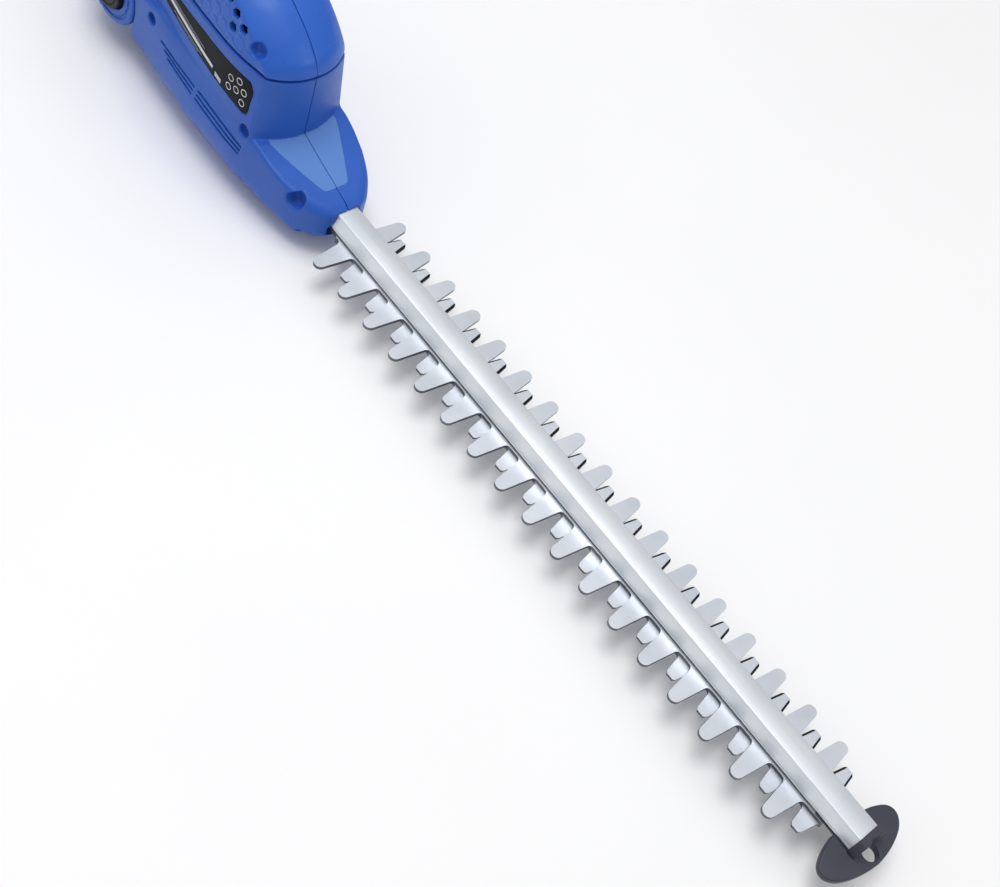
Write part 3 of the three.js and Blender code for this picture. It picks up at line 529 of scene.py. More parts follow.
# ---- housing pieces
HINGE_X, _, HINGE_Z = middle_of("pivot_bolt")
DRUM_R = 28.0
DRUM_HALF = tool_box("hinge_drum_left")[1][1]
RECESSES = {"nose_screw": 5.8, "nose_lower_screw": 4.0, "middle_screw": 4.3, "top_screw": 5.2,
            "rear_screw": 4.2, "rear_lower_screw": 4.0}
LABEL = [(-91, 43.5), (-87.5, 45.5), (-87, 63.5), (-90.5, 68.2), (-186, 68.6), (-190, 62), (-178, 55.5),
         (-150, 50.5), (-122, 45.8)]
LABEL_CORNER = 2.0
SCREW_POST_R = 5.0
VENT_GROUPS = [(-174.5, 28.5, -136, 25.0, 5.0), (-131, 24.9, -84.5, 20.9, -0.5)]
VENT_STEP = 3.3
VENT_HALF = 0.8
VENT_DEPTH = 8.5
HEX_HOLES = [(-114.8, 91.0), (-106.2, 95.9), (-114.8, 100.8), (-123.3, 105.7)]
HEX_CELL = 9.8                   # across flats, with the rib between two cells
HEX_HOLE_HALF = 2.9
PAD = [(-70, -1), (-70, 17), (-72, 20), (-64, 17.4), (-50, 11.6), (-37, 5.8), (-37, -1)]
PAD_CORNER = 5.0
NOSE_SLOT = [(-9, -6.6), (12.6, -6.6), (12.6, 1.4), (10.8, 1.4), (10.8, 3.0), (7.5, 12.1), (-9, 12.1)]
TONGUE_SLOT = ((-240, -9, 9.5), (-196, 9, 31))
ROOMS = [((-168, -29.6, -10.4), (-57, 29.6, 31)), ((-160, -28.8, 20), (-92, 28.8, 90)),
         ((-64, -19, -9.8), (-40, 19, 10)), ((-210, -9, 9.5), (-160, 9, 31))]
COVER_ROOM = ((-160, -28, 60), (-92, 28, 106.5))
SHAFT_LOW, SHAFT_HIGH = tool_box("armature_shaft")
SHAFT_X = middle_of("armature_shaft")[0]
SHAFT_R = (SHAFT_HIGH[0] - SHAFT_LOW[0]) / 2
SHAFT_GAP = 0.9


def screw_seat(node):
    """The middle of a housing screw's inner end."""
    at_x, _, at_z = middle_of(node)
    return at_x, tool_box(node)[0][1], at_z


def with_recesses(shape, x, y, z, names):
    """The shape with the recesses of some screws sunk into it."""
    for name in names:
        at_x, at_y, at_z = screw_seat(name)
        bore = capped_rod(x - at_x, z - at_z, y, RECESSES[name], -60, at_y, 3.5)
        shape = without(shape, bore, 1.4)
    return shape


def posts(x, y, z):
    """Distance to the posts that the housing screws stand in, wider behind the recesses."""
    nearest = FAR
    for name, radius in RECESSES.items():
        at_x, at_y, at_z = screw_seat(name)
        off = np.hypot(x - at_x, z - at_z)
        boss = np.maximum(off - radius - 2.2, y - at_y - 2.6)
        nearest = np.minimum(nearest, np.minimum(off - SCREW_POST_R, boss))
    return nearest


def vents(x, y, z):
    """Two groups of three slits in each side."""
    slit = FAR
    for x0, z0, x1, z1, later in VENT_GROUPS:
        for row in range(3):
            drop = row * VENT_STEP
            line = line_square(x, z, (x0 + row * later, z0 - drop), (x1 - row * 0.6, z1 - drop))
            slit = np.minimum(slit, np.sqrt(line))
    return common(slit - VENT_HALF, HULL_HALF - VENT_DEPTH - np.abs(y), 0.4)


def shaft_room(x, y, z):
    """Clear space round the motor's upright shaft."""
    return capped_rod(x - SHAFT_X, y, z, SHAFT_R + SHAFT_GAP, SHAFT_LOW[2] - SHAFT_GAP,
                      SHAFT_HIGH[2] + SHAFT_GAP)


def head_solid(x, y, z):
    """Hull and tower together, without openings."""
    return merged(hull_field(x, y, z), tower_field(x, y, z), 1.6)


def lower_body(x, y, z):
    """Body of the head: hull and tower with every opening that they have."""
    solid = head_solid(x, y, z)
    # A rim stands up inside the cover and shows as the groove's floor.
    rim = np.maximum(tower_field(x, y, z + 4) + 2.8, z - GROOVE_Z - 1.5)
    shape = np.minimum(common(solid, z - GROOVE_Z + 0.9, 1.0), rim)
    room = np.minimum.reduce([box_field(x, y, z, *corners) for corners in ROOMS])
    room = np.maximum(room, -posts(x, y, z))
    shape = less(shape,
                 (capped_rod(x - HINGE_X, z - HINGE_Z, y, DRUM_R + 1.6, -60, 60), 1.2),
                 (box_field(x, y, z, *TONGUE_SLOT), 0.8),
                 (np.maximum(outline(np.abs(y), z, NOSE_SLOT), -60 - x), 0.8),
                 (np.maximum(room, solid + WALL), 0.4),
                 (shaft_room(x, y, z), 0.3))
    shape = with_recesses(shape, x, y, z, [name for name in RECESSES if name != "top_screw"])
    pocket = np.maximum(outline(x, z, LABEL) - LABEL_CORNER + 1.6, np.maximum(-0.5 - solid, y + 20))
    return less(shape, (vents(x, y, z), 0.5), (pocket, 0.3))


def hexagon(u, v):
    """Half the width across flats of the hexagon that each point lies on."""
    return np.maximum(np.abs(u), np.abs(u) * 0.5 + np.abs(v) * math.sqrt(0.75))


def honeycomb(u, v, cell):
    """Distance from each point to the middle of the nearest rib of a honeycomb."""
    tall = cell * math.sqrt(3)
    first = (np.mod(u, cell) - cell / 2, np.mod(v, tall) - tall / 2)
    second = (np.mod(u + cell / 2, cell) - cell / 2, np.mod(v + tall / 2, tall) - tall / 2)
    nearer = first[0] ** 2 + first[1] ** 2 < second[0] ** 2 + second[1] ** 2
    return cell / 2 - hexagon(np.where(nearer, first[0], second[0]), np.where(nearer, first[1], second[1]))


def upper_cover(x, y, z):
    """The motor cover, with its honeycomb sides, air holes and screw recess."""
    across = np.abs(y)
    solid = cover_field(x, y, z)
    edge = profile(x, COVER_EDGE)
    panel = np.minimum(np.minimum(z - GROOVE_Z - 3.5, (edge - z) * 0.8 - 3.0),
                       np.minimum(-x - 96 + (z - 80) * 0.1, x + 196))
    ribs = honeycomb(z - HEX_HOLES[0][1], x - HEX_HOLES[0][0], HEX_CELL)
    relief = np.clip(panel, 0, 0.8) * np.clip(1.5 - ribs, 0, 0.8) * 0.5
    shape = common(solid + relief * (across > 24), GROOVE_Z + 0.9 - z, 1.0)
    for hole_x, hole_z in HEX_HOLES:
        hole = hexagon(z - hole_z, x - hole_x) - HEX_HOLE_HALF
        shape = without(shape, np.maximum(hole, 22 - across), 0.8)
    room = np.maximum(box_field(x, y, z, *COVER_ROOM), -posts(x, y, z))
    shape = less(shape, (np.maximum(room, solid + WALL), 0.4), (shaft_room(x, y, z), 0.3))
    return with_recesses(shape, x, y, z, ["top_screw"])


def nose_pad(x, y, z):
    """Raised panel on top of the nose."""
    hull = hull_field(x, y, z)
    border = outline(x, np.abs(y), PAD) - PAD_CORNER
    shape = common(np.maximum(hull - 0.5, -1.5 - hull), border, 0.5)
    return np.maximum(np.maximum(shape, front_x(y, z) + 0.3 - x), -z)


for name, field, low, high, look, facets in (
        ("head_body", lower_body, (-212, -41, -25), (-15, 41, 81), BLUE, 170000),
        ("motor_cover", upper_cover, (-209, -37, 77), (-68, 37, 119), COVER_BLUE, 90000),
        ("nose_pad", nose_pad, (-84, -26, 5), (-27, 26, 34), PAD_BLUE, 20000)):
    moulded_halves(name, field, low, high, CELL, look, "head", "housing", facets, 0.7)


# ---- mesh pieces
def from_work(name, work):
    """An object from a bmesh, which is let go."""
    mesh = bpy.data.meshes.new(name)
    work.to_mesh(mesh)
    work.free()
    return added(name, mesh)


def shaded(mesh, angle):
    """Smooth shading, but for edges over an angle."""
    mesh.shade_smooth()
    mesh.set_sharp_from_angle(angle=math.radians(angle))


def tidied(piece, angle):
    """Doubled points merged, faces out, and smooth shading up to an angle."""
    work = bmesh.new()
    work.from_mesh(piece.data)
    bmesh.ops.remove_doubles(work, verts=work.verts, dist=1e-6)
    bmesh.ops.recalc_face_normals(work, faces=work.faces)
    work.to_mesh(piece.data)
    work.free()
    shaded(piece.data, angle)


def lofted(name, loops, lids):
    """A skin over loops of points, each joined to the next, with lids on its ends or without."""
    count = len(loops[0])
    last = (len(loops) - 1) * count
    faces = [list(range(count)), list(range(last, last + count))[::-1]] if lids else []
    for start in range(0, last, count):
        for k in range(count):
            a, b = start + k, start + (k + 1) % count
            faces.append([a, b, b + count, a + count])
    mesh = bpy.data.meshes.new(name)
    mesh.from_pydata(to_frame(np.concatenate(loops)).tolist(), [], faces)
    mesh.update()
    return added(name, mesh)


def turned(name, rings, height, sides):
    """Turned piece round a line along X at a height. Rings are (radius, x), the last joined to the first."""
    turns = 2 * np.pi * np.arange(sides) / sides
    loops = [np.stack([np.full(sides, float(x)), radius * np.cos(turns), radius * np.sin(turns) + height], 1)
             for radius, x in rings + rings[:1]]
    return lofted(name, loops, False)


def along_x(name, section, stations):
    """A section (y, z) drawn along X; stations are (x, scale about the section's middle)."""
    section = np.array(section)
    middle = section.mean(0)
    loops = [[(x, y, z) for y, z in middle + (section - middle) * scale] for x, scale in stations]
    return lofted(name, loops, True)


def arc(centre, radius, start, stop, steps):
    """Points round part of a circle, angles in degrees."""
    turns = np.radians(np.linspace(start, stop, steps + 1))
    return [(centre[0] + radius * math.cos(a), centre[1] + radius * math.sin(a)) for a in turns]


def rounded_corners(points, radius, steps=4):
    """A closed outline with each corner rounded."""
    line = []
    for i, here in enumerate(points):
        here = np.array(here, float)
        back = np.array(points[i - 1]) - here
        ahead = np.array(points[(i + 1) % len(points)]) - here
        start = here + back * min(radius / np.linalg.norm(back), 0.49)
        stop = here + ahead * min(radius / np.linalg.norm(ahead), 0.49)
        for t in np.linspace(0, 1, steps + 1):
            line.append(tuple((1 - t) ** 2 * start + 2 * t * (1 - t) * here + t ** 2 * stop))
    return line


def mirrored(half):
    """The other half of an outline, (-u, v) in reverse order."""
    return [(-u, v) for u, v in reversed(half)]


# ---- blades
STRIP_HALF = 11.7
LONG_REACH, LONG_TIP_R, LONG_ROOT_HALF = 36.0, 4.25, 6.8
SHORT_REACH, SHORT_TIP_HALF, SHORT_ROOT_HALF = 25.2, 3.4, 5.6
LONG_ROOT = [(1.15, 0.0), (0.5, 0.12), (0.14, 0.45), (-0.06, 1.0)]    # (out, down) in fillet radii
SHORT_ROOT = [(0.9, 0.0), (0.35, 0.12), (0.08, 0.45), (-0.06, 1.0)]
UPPER_SHIFT = {1: 11.3, -1: 0.0}     # first tooth on the +Y and the -Y side
LOWER_SHIFT = {1: -0.7, -1: 15.5}
TAIL_HALF = 9.0
BLADE_T = 2.3
ROOT_FILLET = 2.6
GRIND = 1.3                      # width of the ground bevels on the short teeth
BURR = 0.12                      # edge break all round
BOLT_X = [44, 170, 296, 414]
BOLT_R = 3.1
SLOT_HALF = 8.6                  # half the run of a bolt slot, the stroke and some play
CRANK_X = middle_of("crank_axle")[0]
YOKE = (20.0, 27.5)
YOKE_SLOT = (15.0, 23.0)


def placed(half, x, side):
    """A -Y tooth's left half made whole, at its place on either side, in counter-clockwise order."""
    line = [(x + u, v) for u, v in half] + [(x - u, v) for u, v in half[::-1]]
    return line if side < 0 else [(2 * x - u, -v) for u, v in line]


def root(half, curve):
    """Left foot of a -Y tooth."""
    return [(-half - ROOT_FILLET * a, -STRIP_HALF - ROOT_FILLET * b) for a, b in curve]


def long_tooth(x, side):
    """Half-round tip on straight flanks, with filleted roots."""
    tip = arc((0, -LONG_REACH + LONG_TIP_R), LONG_TIP_R, 184, 264, 6)
    return placed(root(LONG_ROOT_HALF, LONG_ROOT) + tip, x, side)


def short_tooth(x, side):
    """Square-ended tooth with its corners taken off."""
    corner = [(-SHORT_TIP_HALF - 0.12, -SHORT_REACH + 1.3), (-SHORT_TIP_HALF + 1.0, -SHORT_REACH)]
    return placed(root(SHORT_ROOT_HALF, SHORT_ROOT) + corner, x, side)


def blade_outline(teeth, shift):
    """A blade's whole rim, counter-clockwise from the back of its yoke."""
    back, neck = CRANK_X - YOKE[0], CRANK_X + YOKE[0]
    tail = [(back, -YOKE[1]), (neck, -YOKE[1]), (neck, -TAIL_HALF), (-14, -TAIL_HALF), (-11.5, -STRIP_HALF)]
    line = list(tail)
    for k in range(TEETH):
        line += teeth[-1](shift[-1] + PITCH * k, -1)
    line += [(STRIP_END, -STRIP_HALF), (STRIP_END, STRIP_HALF)]
    for k in reversed(range(TEETH)):
        line += teeth[1](shift[1] + PITCH * k, 1)
    return line + [(x, -y) for x, y in reversed(tail)]


def blade(which, teeth, shift, top, cut_up):
    """Plate with slots for the bolts and the crank. Its short teeth are ground on the outer face."""
    end_r = BOLT_R + 0.4
    holes = [arc((x + SLOT_HALF, 0), end_r, 90, -90, 8) + arc((x - SLOT_HALF, 0), end_r, 270, 90, 8)
             for x in BOLT_X]
    near, far = CRANK_X - YOKE_SLOT[0], CRANK_X + YOKE_SLOT[0]
    holes.append([(near, -YOKE_SLOT[1]), (near, YOKE_SLOT[1]), (far, YOKE_SLOT[1]), (far, -YOKE_SLOT[1])])
    rim = np.array(blade_outline(teeth, shift))
    along = np.roll(rim, -1, 0) - np.roll(rim, 1, 0)
    along /= np.linalg.norm(along, axis=1)[:, None]
    inward = np.stack([-along[:, 1], along[:, 0]], 1)
    short_side = 1 if teeth[1] is short_tooth else -1
    toothed = np.clip((rim[:, 1] * short_side - STRIP_HALF - 0.3) / 2.3, 0, 1) * (rim[:, 0] > -12)
    flank = np.clip(1.35 - np.abs(inward[:, 1]) * 1.35, 0.12, 1)
    narrow = rim + inward * (GRIND * toothed * flank + BURR)[:, None]
    outer, inner = (top, top - BLADE_T) if cut_up else (top - BLADE_T, top)
    work = bmesh.new()
    rings = []
    for level, loop in ((outer, narrow), (outer + (inner - outer) * 0.5, rim), (inner, rim)):
        rings.append([[work.verts.new(to_frame((u, v, level))) for u, v in points]
                      for points in [loop.tolist()] + holes])
    for loops in (rings[0], rings[-1]):
        edges = []
        for ring in loops:
            edges += [work.edges.new((a, b)) for a, b in zip(ring, ring[1:] + ring[:1])]
        bmesh.ops.triangle_fill(work, edges=edges, use_beauty=True, normal=(0, 0, 1))
    for step, (upper, lower) in enumerate(zip(rings, rings[1:])):
        for number, (first, second) in enumerate(zip(upper, lower)):
            for k in range(len(first)):
                after = (k + 1) % len(first)
                face = work.faces.new((first[k], first[after], second[after], second[k]))
                # Index 1 is the upright wall, darkened partly as painted shade; index 2 is a short tooth's
                # ground bevel, painted near black as shade.
                ground = step == 0 and number == 0 and toothed[k] > 0 and toothed[after] > 0
                face.material_index = 2 if ground else 1
    bmesh.ops.recalc_face_normals(work, faces=work.faces)
    face_material_numbers = [face.material_index for face in work.faces]
    piece = from_work(f"{which}_blade_plate", work)
    shaded(piece.data, 28)
    dressed(piece, BLADE, f"{which}_blade", [f"{which}_cutting_blade"])
    piece.data.materials.append(SHEARED_AND_SHADE)
    piece.data.materials.append(BEVEL_PAINTED_SHADE)
    piece.data.polygons.foreach_set("material_index", face_material_numbers)   # emptying the slots has reset them


blade("upper", {1: short_tooth, -1: long_tooth}, UPPER_SHIFT, 0.0, True)
blade("lower", {1: long_tooth, -1: short_tooth}, LOWER_SHIFT, -BLADE_T - GAP, False)


# ---- support bar
BAR_LOW, BAR_HIGH = tool_box("support_bar")
BAR_BASE_HALF = BAR_HIGH[1]
BAR_FRONT = BAR_HIGH[0] + 2.2     # the sawn end stands a little deeper in the guard
BAR_TOP_HALF = 7.3
BAR_LIP_Z = BAR_LOW[2] + 1.3
SAWN = 0.965                     # how much the sawn ends are drawn in


def bar():
    """Extruded aluminium section with small radii, a lip along each side and sawn ends."""
    half = [(BAR_BASE_HALF, BAR_LOW[2]), (BAR_BASE_HALF, BAR_LIP_Z), (BAR_BASE_HALF - 0.45, BAR_LIP_Z + 0.5),
            (BAR_TOP_HALF, BAR_HIGH[2])]
    middle = [(x, 1) for x in np.linspace(BAR_LOW[0] + 20, BAR_FRONT - 20, 12)]
    stations = [(BAR_LOW[0], SAWN), (BAR_LOW[0] + 0.35, 1)] + middle
    stations += [(BAR_FRONT - 0.35, 1), (BAR_FRONT, SAWN)]
    piece = along_x("blade_bar", rounded_corners(half + mirrored(half), 0.55, 3), stations)
    tidied(piece, 24)
    dressed(piece, ALUMINIUM, "head", ["support_bar"])


def shadow_line_strip():
    """Thin sliding strip between the bar and the blades, in black so that it also stands as painted shadow
    for the dark line under the bar's edge.
    """
    (back, right, base), (front, left, top) = tool_box("slide_strip")
    section = rounded_corners([(right, base), (left, base), (left, top), (right, top)], 0.25, 2)
    piece = along_x("shadow_line_strip", section, [(back, 1), (front, 1)])
    tidied(piece, 35)
    # The black here is painted shadow: the dark line under the bar's near edge.
    dressed(piece, BLACK, "head", ["slide_strip"])


bar()
shadow_line_strip()


# ---- screws and bolts
SCREW_HEAD_R = 3.5
DOME_R = 5.5
SOCKET_HALF = 1.5


def housing_screw(node):
    """Pan-head screw with a six-lobed socket, standing in its recess."""
    at_x, at_y, at_z = screw_seat(node)

    def field(x, y, z):
        u, v, depth = x - at_x, z - at_z, y - at_y
        dome = np.sqrt(u * u + v * v + (depth - 5.6) ** 2) - DOME_R
        head = common(np.maximum(dome, depth - 2.4), np.hypot(u, v) - SCREW_HEAD_R, 0.5)
        socket = np.hypot(u, v) - SOCKET_HALF * (1 + 0.14 * np.cos(6 * np.arctan2(v, u)))
        return without(head, np.maximum(socket, depth - 1.5), 0.2)
    moulded(node + "_head", field, (at_x - 4, at_y, at_z - 4), (at_x + 4, at_y + 2.6, at_z + 4), 0.25,
            DARK_STEEL, "head", [node], 5000)


def blade_bolt(node):
    """Shoulder bolt under the blades: washer, hexagon head and a plain shank."""
    low, high = tool_box(node)
    middle = (low[0] + high[0]) / 2
    base = -2 * BLADE_T - 2 * GAP

    def field(x, y, z):
        u, v = x - middle, y
        washer = capped_rod(u, v, z, 5.6, base - 1.1, base, 0.4)
        head = common(common(hexagon(v, u) - 4.3, low[2] + 0.05 - z, 0.8), z - base + 0.8, 0.3)
        dimple = np.maximum(np.hypot(u, v) - 2.2, z - low[2] - 0.5)
        shank = capped_rod(u, v, z, BOLT_R, base - 1, high[2], 0.3)
        return np.minimum(without(merged(washer, head, 0.5), dimple, 0.4), shank)
    moulded(node + "_steel", field, low, high, 0.35, STEEL, "head", [node], 9000)


for name in RECESSES:
    housing_screw(name)
for number in range(1, 5):
    blade_bolt(f"blade_bolt_{number}")


# ---- tip guard
GUARD_LOW, GUARD_HIGH = tool_box("tip_guard")
HANG_HOLE = (465.9, 5.0)         # place along the tool, radius
GUARD_HALF = eased([(447, 12.9), (448.8, 20.5), (451.8, 27.4), (455, 30.8), (459, 31.7), (463, 29.9),
                    (466.6, 25.8), (469.3, 20), (471.4, 13), (472.7, 6), (GUARD_HIGH[0], 0)], 4)
GUARD_TOP = 0.9
SOCKET = (457.2, 462.6)
GUARD_SCREW_X = 450.5


def guard():
    """Crescent plate with an eased rim, a boxed socket for the bar's end and a hanging hole."""
    half = [(446.8, -2), (446.8, 12.7)] + GUARD_HALF + [(GUARD_HIGH[0], -2)]
    cap = [(-9, 0.5), (11.9, 0.5), (11.8, 3.6), (8.7, 13.2), (-9, 13.2)]
    bar_room = [(-9, 1.2), (10.7, 1.2), (10.7, 2.9), (7.5, 12.2), (-9, 12.2)]

    def field(x, y, z):
        across = np.abs(y)
        crown = GUARD_TOP - 0.05 - 0.0016 * across ** 2
        plate = common(outline(x, across, half), np.maximum(z - crown, GUARD_LOW[2] + 0.02 - z), 1.4)
        tongue = box_field(x, y, z, (432, -11.4, GAP), (452, 11.4, GUARD_TOP))
        socket = common(outline(across, z, cap), np.maximum(SOCKET[0] - x, x - SOCKET[1]), 0.9)
        screw = np.hypot(x - GUARD_SCREW_X, y)
        return less(merged(np.minimum(plate, tongue), socket, 0.9),
                    (np.maximum(outline(across, z, bar_room), x - BAR_FRONT - 0.1), 0.3),
                    (np.hypot(x - HANG_HOLE[0], y) - HANG_HOLE[1], 1.0),
                    (np.minimum(screw - 2.3, np.maximum(screw - 4.3, z + 3)), 0.5))
    moulded("tip_guard_plate", field, GUARD_LOW, GUARD_HIGH, 0.5 * CELL / 0.6, CHARCOAL, "head",
            ["tip_guard"], 60000)


guard()


# ---- label
def on_wall(points, height):
    """Puts (x, z) points on the tower's -Y wall, at a height off the wall."""
    x, z = np.array(points, np.float32).T
    y = np.full(x.shape, -45, np.float32)
    for _ in range(40):
        y += 0.8 * (head_solid(x, y, z) - height)
    return np.stack([x, y, z], 1)


def film(name, shapes, height, thickness, look, replaces=()):
    """Thin printed shapes lying on the wall."""
    work = bmesh.new()
    for points in shapes:
        work.faces.new([work.verts.new((x, 0, z)) for x, z in points])
    bmesh.ops.triangulate(work, faces=work.faces)
    for _ in range(4):
        long = [edge for edge in work.edges if edge.calc_length() > 5.0]
        bmesh.ops.subdivide_edges(work, edges=long, cuts=1)
        bmesh.ops.triangulate(work, faces=work.faces)
    lying = on_wall([(vertex.co.x, vertex.co.z) for vertex in work.verts], height)
    for vertex, point in zip(work.verts, lying):
        vertex.co = to_frame(point).tolist()
    piece = from_work(name, work)
    thick = piece.modifiers.new("thickness", "SOLIDIFY")
    thick.thickness = thickness / 1000
    thick.offset = 0
    applied(piece)
    tidied(piece, 50)
    dressed(piece, look, "head", replaces)


def bar_mark(start, stop, width):
    """Rectangle along a line."""
    run = np.subtract(stop, start)
    side = np.array([-run[1], run[0]]) / np.linalg.norm(run) * width / 2
    return [tuple(start - side), tuple(stop - side), tuple(stop + side), tuple(start + side)]


def ring_marks(x, z, radius, width):
    """Ring as two half rings."""
    return [arc((x, z), radius, first, first + 180, 12) + arc((x, z), radius - width, first + 180, first, 12)
            for first in (0, 180)]


def label():
    """Dark film with plain bars and rings that spell nothing."""
    film("label_film", [rounded_corners(LABEL, LABEL_CORNER)], -0.2, 0.3, FILM, ["rating_label"])
    pale = [bar_mark((-183, 63.0), (-124, 51.6), 2.4)]
    pale += [bar_mark((-121, 50.4 - 1.1 * k), (-114.5, 49.0 - 1.1 * k), 0.7) for k in range(3)]
    for x, z in ((-106, 59), (-98.5, 62.4), (-100, 54.4), (-93.4, 57.4), (-93.4, 49.4), (-107, 51.4)):
        pale += ring_marks(x, z, 2.5, 0.55)
    film("label_pale_marks", pale, 0.03, 0.12, PRINT)
    grey = [bar_mark((-178 + 2 * k, 65.8 - 1.7 * k), (-134 - 4 * k, 57.4 - 1.2 * k), 0.55) for k in range(2)]
    grey += [bar_mark((-170, 56.8), (-136, 50.4), 0.5), bar_mark((-166, 54.8), (-140, 49.8), 0.5)]
    film("label_grey_marks", grey, 0.03, 0.12, GREY_PRINT)


label()


# ---- hinge
BUTTON_R = 16.5
BUTTON_FLOOR = -27.0
FRONT_TUBE_R = 14.0
REAR_TUBE_R = 17.5
REAR_BORE_R = 17.8               # what sits on the rear tube is bored to this
EYE_R = 21.0
TONGUE_ROOM = 9.2                # half the gap between the drum's cheeks
NECK = [(-325, 18), (-322, 20), (-252, 23.6)]    # (x, radius) of the neck round the front tube
CLAMP = ((-312, -12, -27), (-288, 12, 27))       # lugs over and under the neck, from its middle line
CLAMP_SCREW = (-300.0, 20.5)     # place along the neck, height over its middle line
NUT_HALF = 8.0
PIVOT_HEAD_R = 8.3
PIVOT_R = 4.3
DRUM_RING_R = 22.5               # groove round each cheek's face
BUTTON_FACE, BUTTON_BACK = -38.45, -31.55
BUTTON_RING_R = 13.2             # groove round the button's face
SPRING_POCKET = (10.7, 1.75, -35.2)    # middle radius, half width, how far out it reaches


def hinge_drum(x, y, z):
    """Drum in two cheeks with a neck that grips the front tube."""
    u, v = x - HINGE_X, z - HINGE_Z
    across = np.abs(y)
    off = np.hypot(u, v)
    drum = common(off - DRUM_R + 0.05, across - DRUM_HALF + 0.05, 2.6)
    ribbed = np.clip(np.cos(np.arctan2(v, u) * 24) - 0.55, 0, 1) * 1.2 * (across < 27) * (u > -10)
    drum = drum + ribbed * (off > 26)
    around = np.hypot(y, v)
    neck = common((around - profile(x, NECK)) * 0.98, np.maximum(-324.8 - x, x + 244), 1.2)
    clamp = box_field(x, y, v, *CLAMP, 3.0)
    screw = np.hypot(x - CLAMP_SCREW[0], np.abs(v) - CLAMP_SCREW[1])
    return less(merged(merged(drum, neck, 5.0), clamp, 3.0),
                (np.maximum(across - TONGUE_ROOM, -250 - x), 0.6),
                (np.maximum(off - EYE_R - 1.6, across - TONGUE_ROOM), 0.6),
                (np.maximum(around - FRONT_TUBE_R - 0.25, x + 263.7), 0.6),
                (np.maximum(off - BUTTON_R - 0.6, y - BUTTON_FLOOR), 0.9),
                (np.maximum(hexagon(u, v) - NUT_HALF, y + 21), 0.4),
                (np.maximum(off - PIVOT_HEAD_R, 28 - y), 0.6),
                (off - PIVOT_R, 0.3),
                (np.maximum(np.abs(off - DRUM_RING_R) - 0.7, DRUM_HALF - 0.9 - across), 0.4),
                (np.maximum(screw - 3.6, 7.5 - across), 0.6))


def tilt_button(x, y, z):
    """Round button with a dished face, finger ribs round its rim and a ring pocket for its spring."""
    u, v = x - HINGE_X, z - HINGE_Z
    off = np.hypot(u, v)
    flutes = 0.35 * np.clip(np.cos(np.arctan2(v, u) * 20), 0, 1)
    dish = np.sqrt(off * off + (y + 38.4 + 60) ** 2) - 60.9
    pocket_r, pocket_half, pocket_end = SPRING_POCKET
    return less(common(off - BUTTON_R + 0.05 + flutes, np.maximum(BUTTON_FACE - y, y - BUTTON_BACK), 1.3),
                (np.maximum(dish, off - 11.5), 0.6),
                (np.maximum(np.abs(off - BUTTON_RING_R) - 0.45, y + 38.0), 0.3),
                (np.maximum(np.abs(off - pocket_r) - pocket_half, pocket_end - y), 0.3))


moulded_halves("hinge_cheek", hinge_drum, (-326, -36, -6), (-209, 36, 50), COARSE, BLUE, "pole_front",
               "hinge_drum", 60000)
moulded("tilt_button_cap", tilt_button, (-256, -39, 4), (-220, -31, 40), 0.7, BLACK, "tilt_button",
        ["tilt_lock_button"], 26000)


# ---- pole
TUBE_WALL = 1.5
EASE = 0.3                       # how far the tubes' ends are eased
COLLAR_X = -368.0
COLLAR = [(-394, 21.2), (-386, 24), (-350, 24), (-345, 21)]    # (x, radius) of the collar's body
COLLAR_TIGHT_X = -351.0          # ahead of this the collar closes on the front tube
GRIP_RIBS = 8
RIB_R, RIB_HALF, RIB_RUN = 25.3, 1.9, 17.8    # the ribs' outer radius, half width and half length
FOAM_R = 21.5
FOAM_GROOVES = 9
FOAM_STEP = 21.25
STRAP_X = -445.0
STRAP_EYE = (28.0, 5.5)          # height over the pole's middle line, radius
STRAP_EAR = ((-455.9, -3.45, 18), (-434.1, 3.45, 35.9))


def sleeve(name, rings, look, body, node, height=HINGE_Z, sides=96):
    """Turned piece round the pole's middle line, or round a line at another height."""
    piece = turned(name, rings, height, sides)
    tidied(piece, 32)
    return dressed(piece, look, body, [node])


def tube(name, radius, start, stop, look, body, node):
    """Drawn tube with its ends eased outside."""
    bore = radius - TUBE_WALL
    rings = [(bore, start), (radius - EASE, start), (radius, start + EASE), (radius, stop - EASE),
             (radius - EASE, stop), (bore, stop)]
    sleeve(name, rings, look, body, node)


def lock_collar(x, y, z):
    """Twist collar with eight grip ribs."""
    v = z - HINGE_Z
    around = np.hypot(y, v)
    body = common((around - profile(x, COLLAR)) * 0.95, np.maximum(-393.95 - x, x + 345.05), 1.0)
    half_step = math.pi / GRIP_RIBS
    turn = np.mod(np.arctan2(v, y) + math.pi / 2 + half_step, 2 * half_step) - half_step
    rib_end = np.maximum(around - RIB_R, np.abs(x - COLLAR_X) - RIB_RUN)
    rib = common(np.abs(turn) * around - RIB_HALF, rib_end, 1.2)
    return less(merged(body, rib, 1.0),
                (around - FRONT_TUBE_R - 0.6, 0.5),
                (np.maximum(around - REAR_BORE_R, x - COLLAR_TIGHT_X), 0.5),
                (np.maximum(np.abs(np.abs(x - COLLAR_X) - 21.3) - 0.5, 23.2 - around), 0.3))


def foam_sleeve():
    """Foam grip with shallow ring grooves and rounded ends."""
    rings = [(REAR_BORE_R, -705), (20.2, -705), (21.1, -704.4), (FOAM_R, -703)]
    for k in range(FOAM_GROOVES):
        x = -695 + FOAM_STEP * k
        rings += [(FOAM_R, x - 1.7), (20.9, x - 0.9), (20.7, x), (20.9, x + 0.9), (FOAM_R, x + 1.7)]
    rings += [(FOAM_R, -507), (21.1, -505.6), (20.2, -505), (REAR_BORE_R, -505)]
    piece = sleeve("foam_sleeve", rings, FOAM, "pole_rear", "foam_grip")


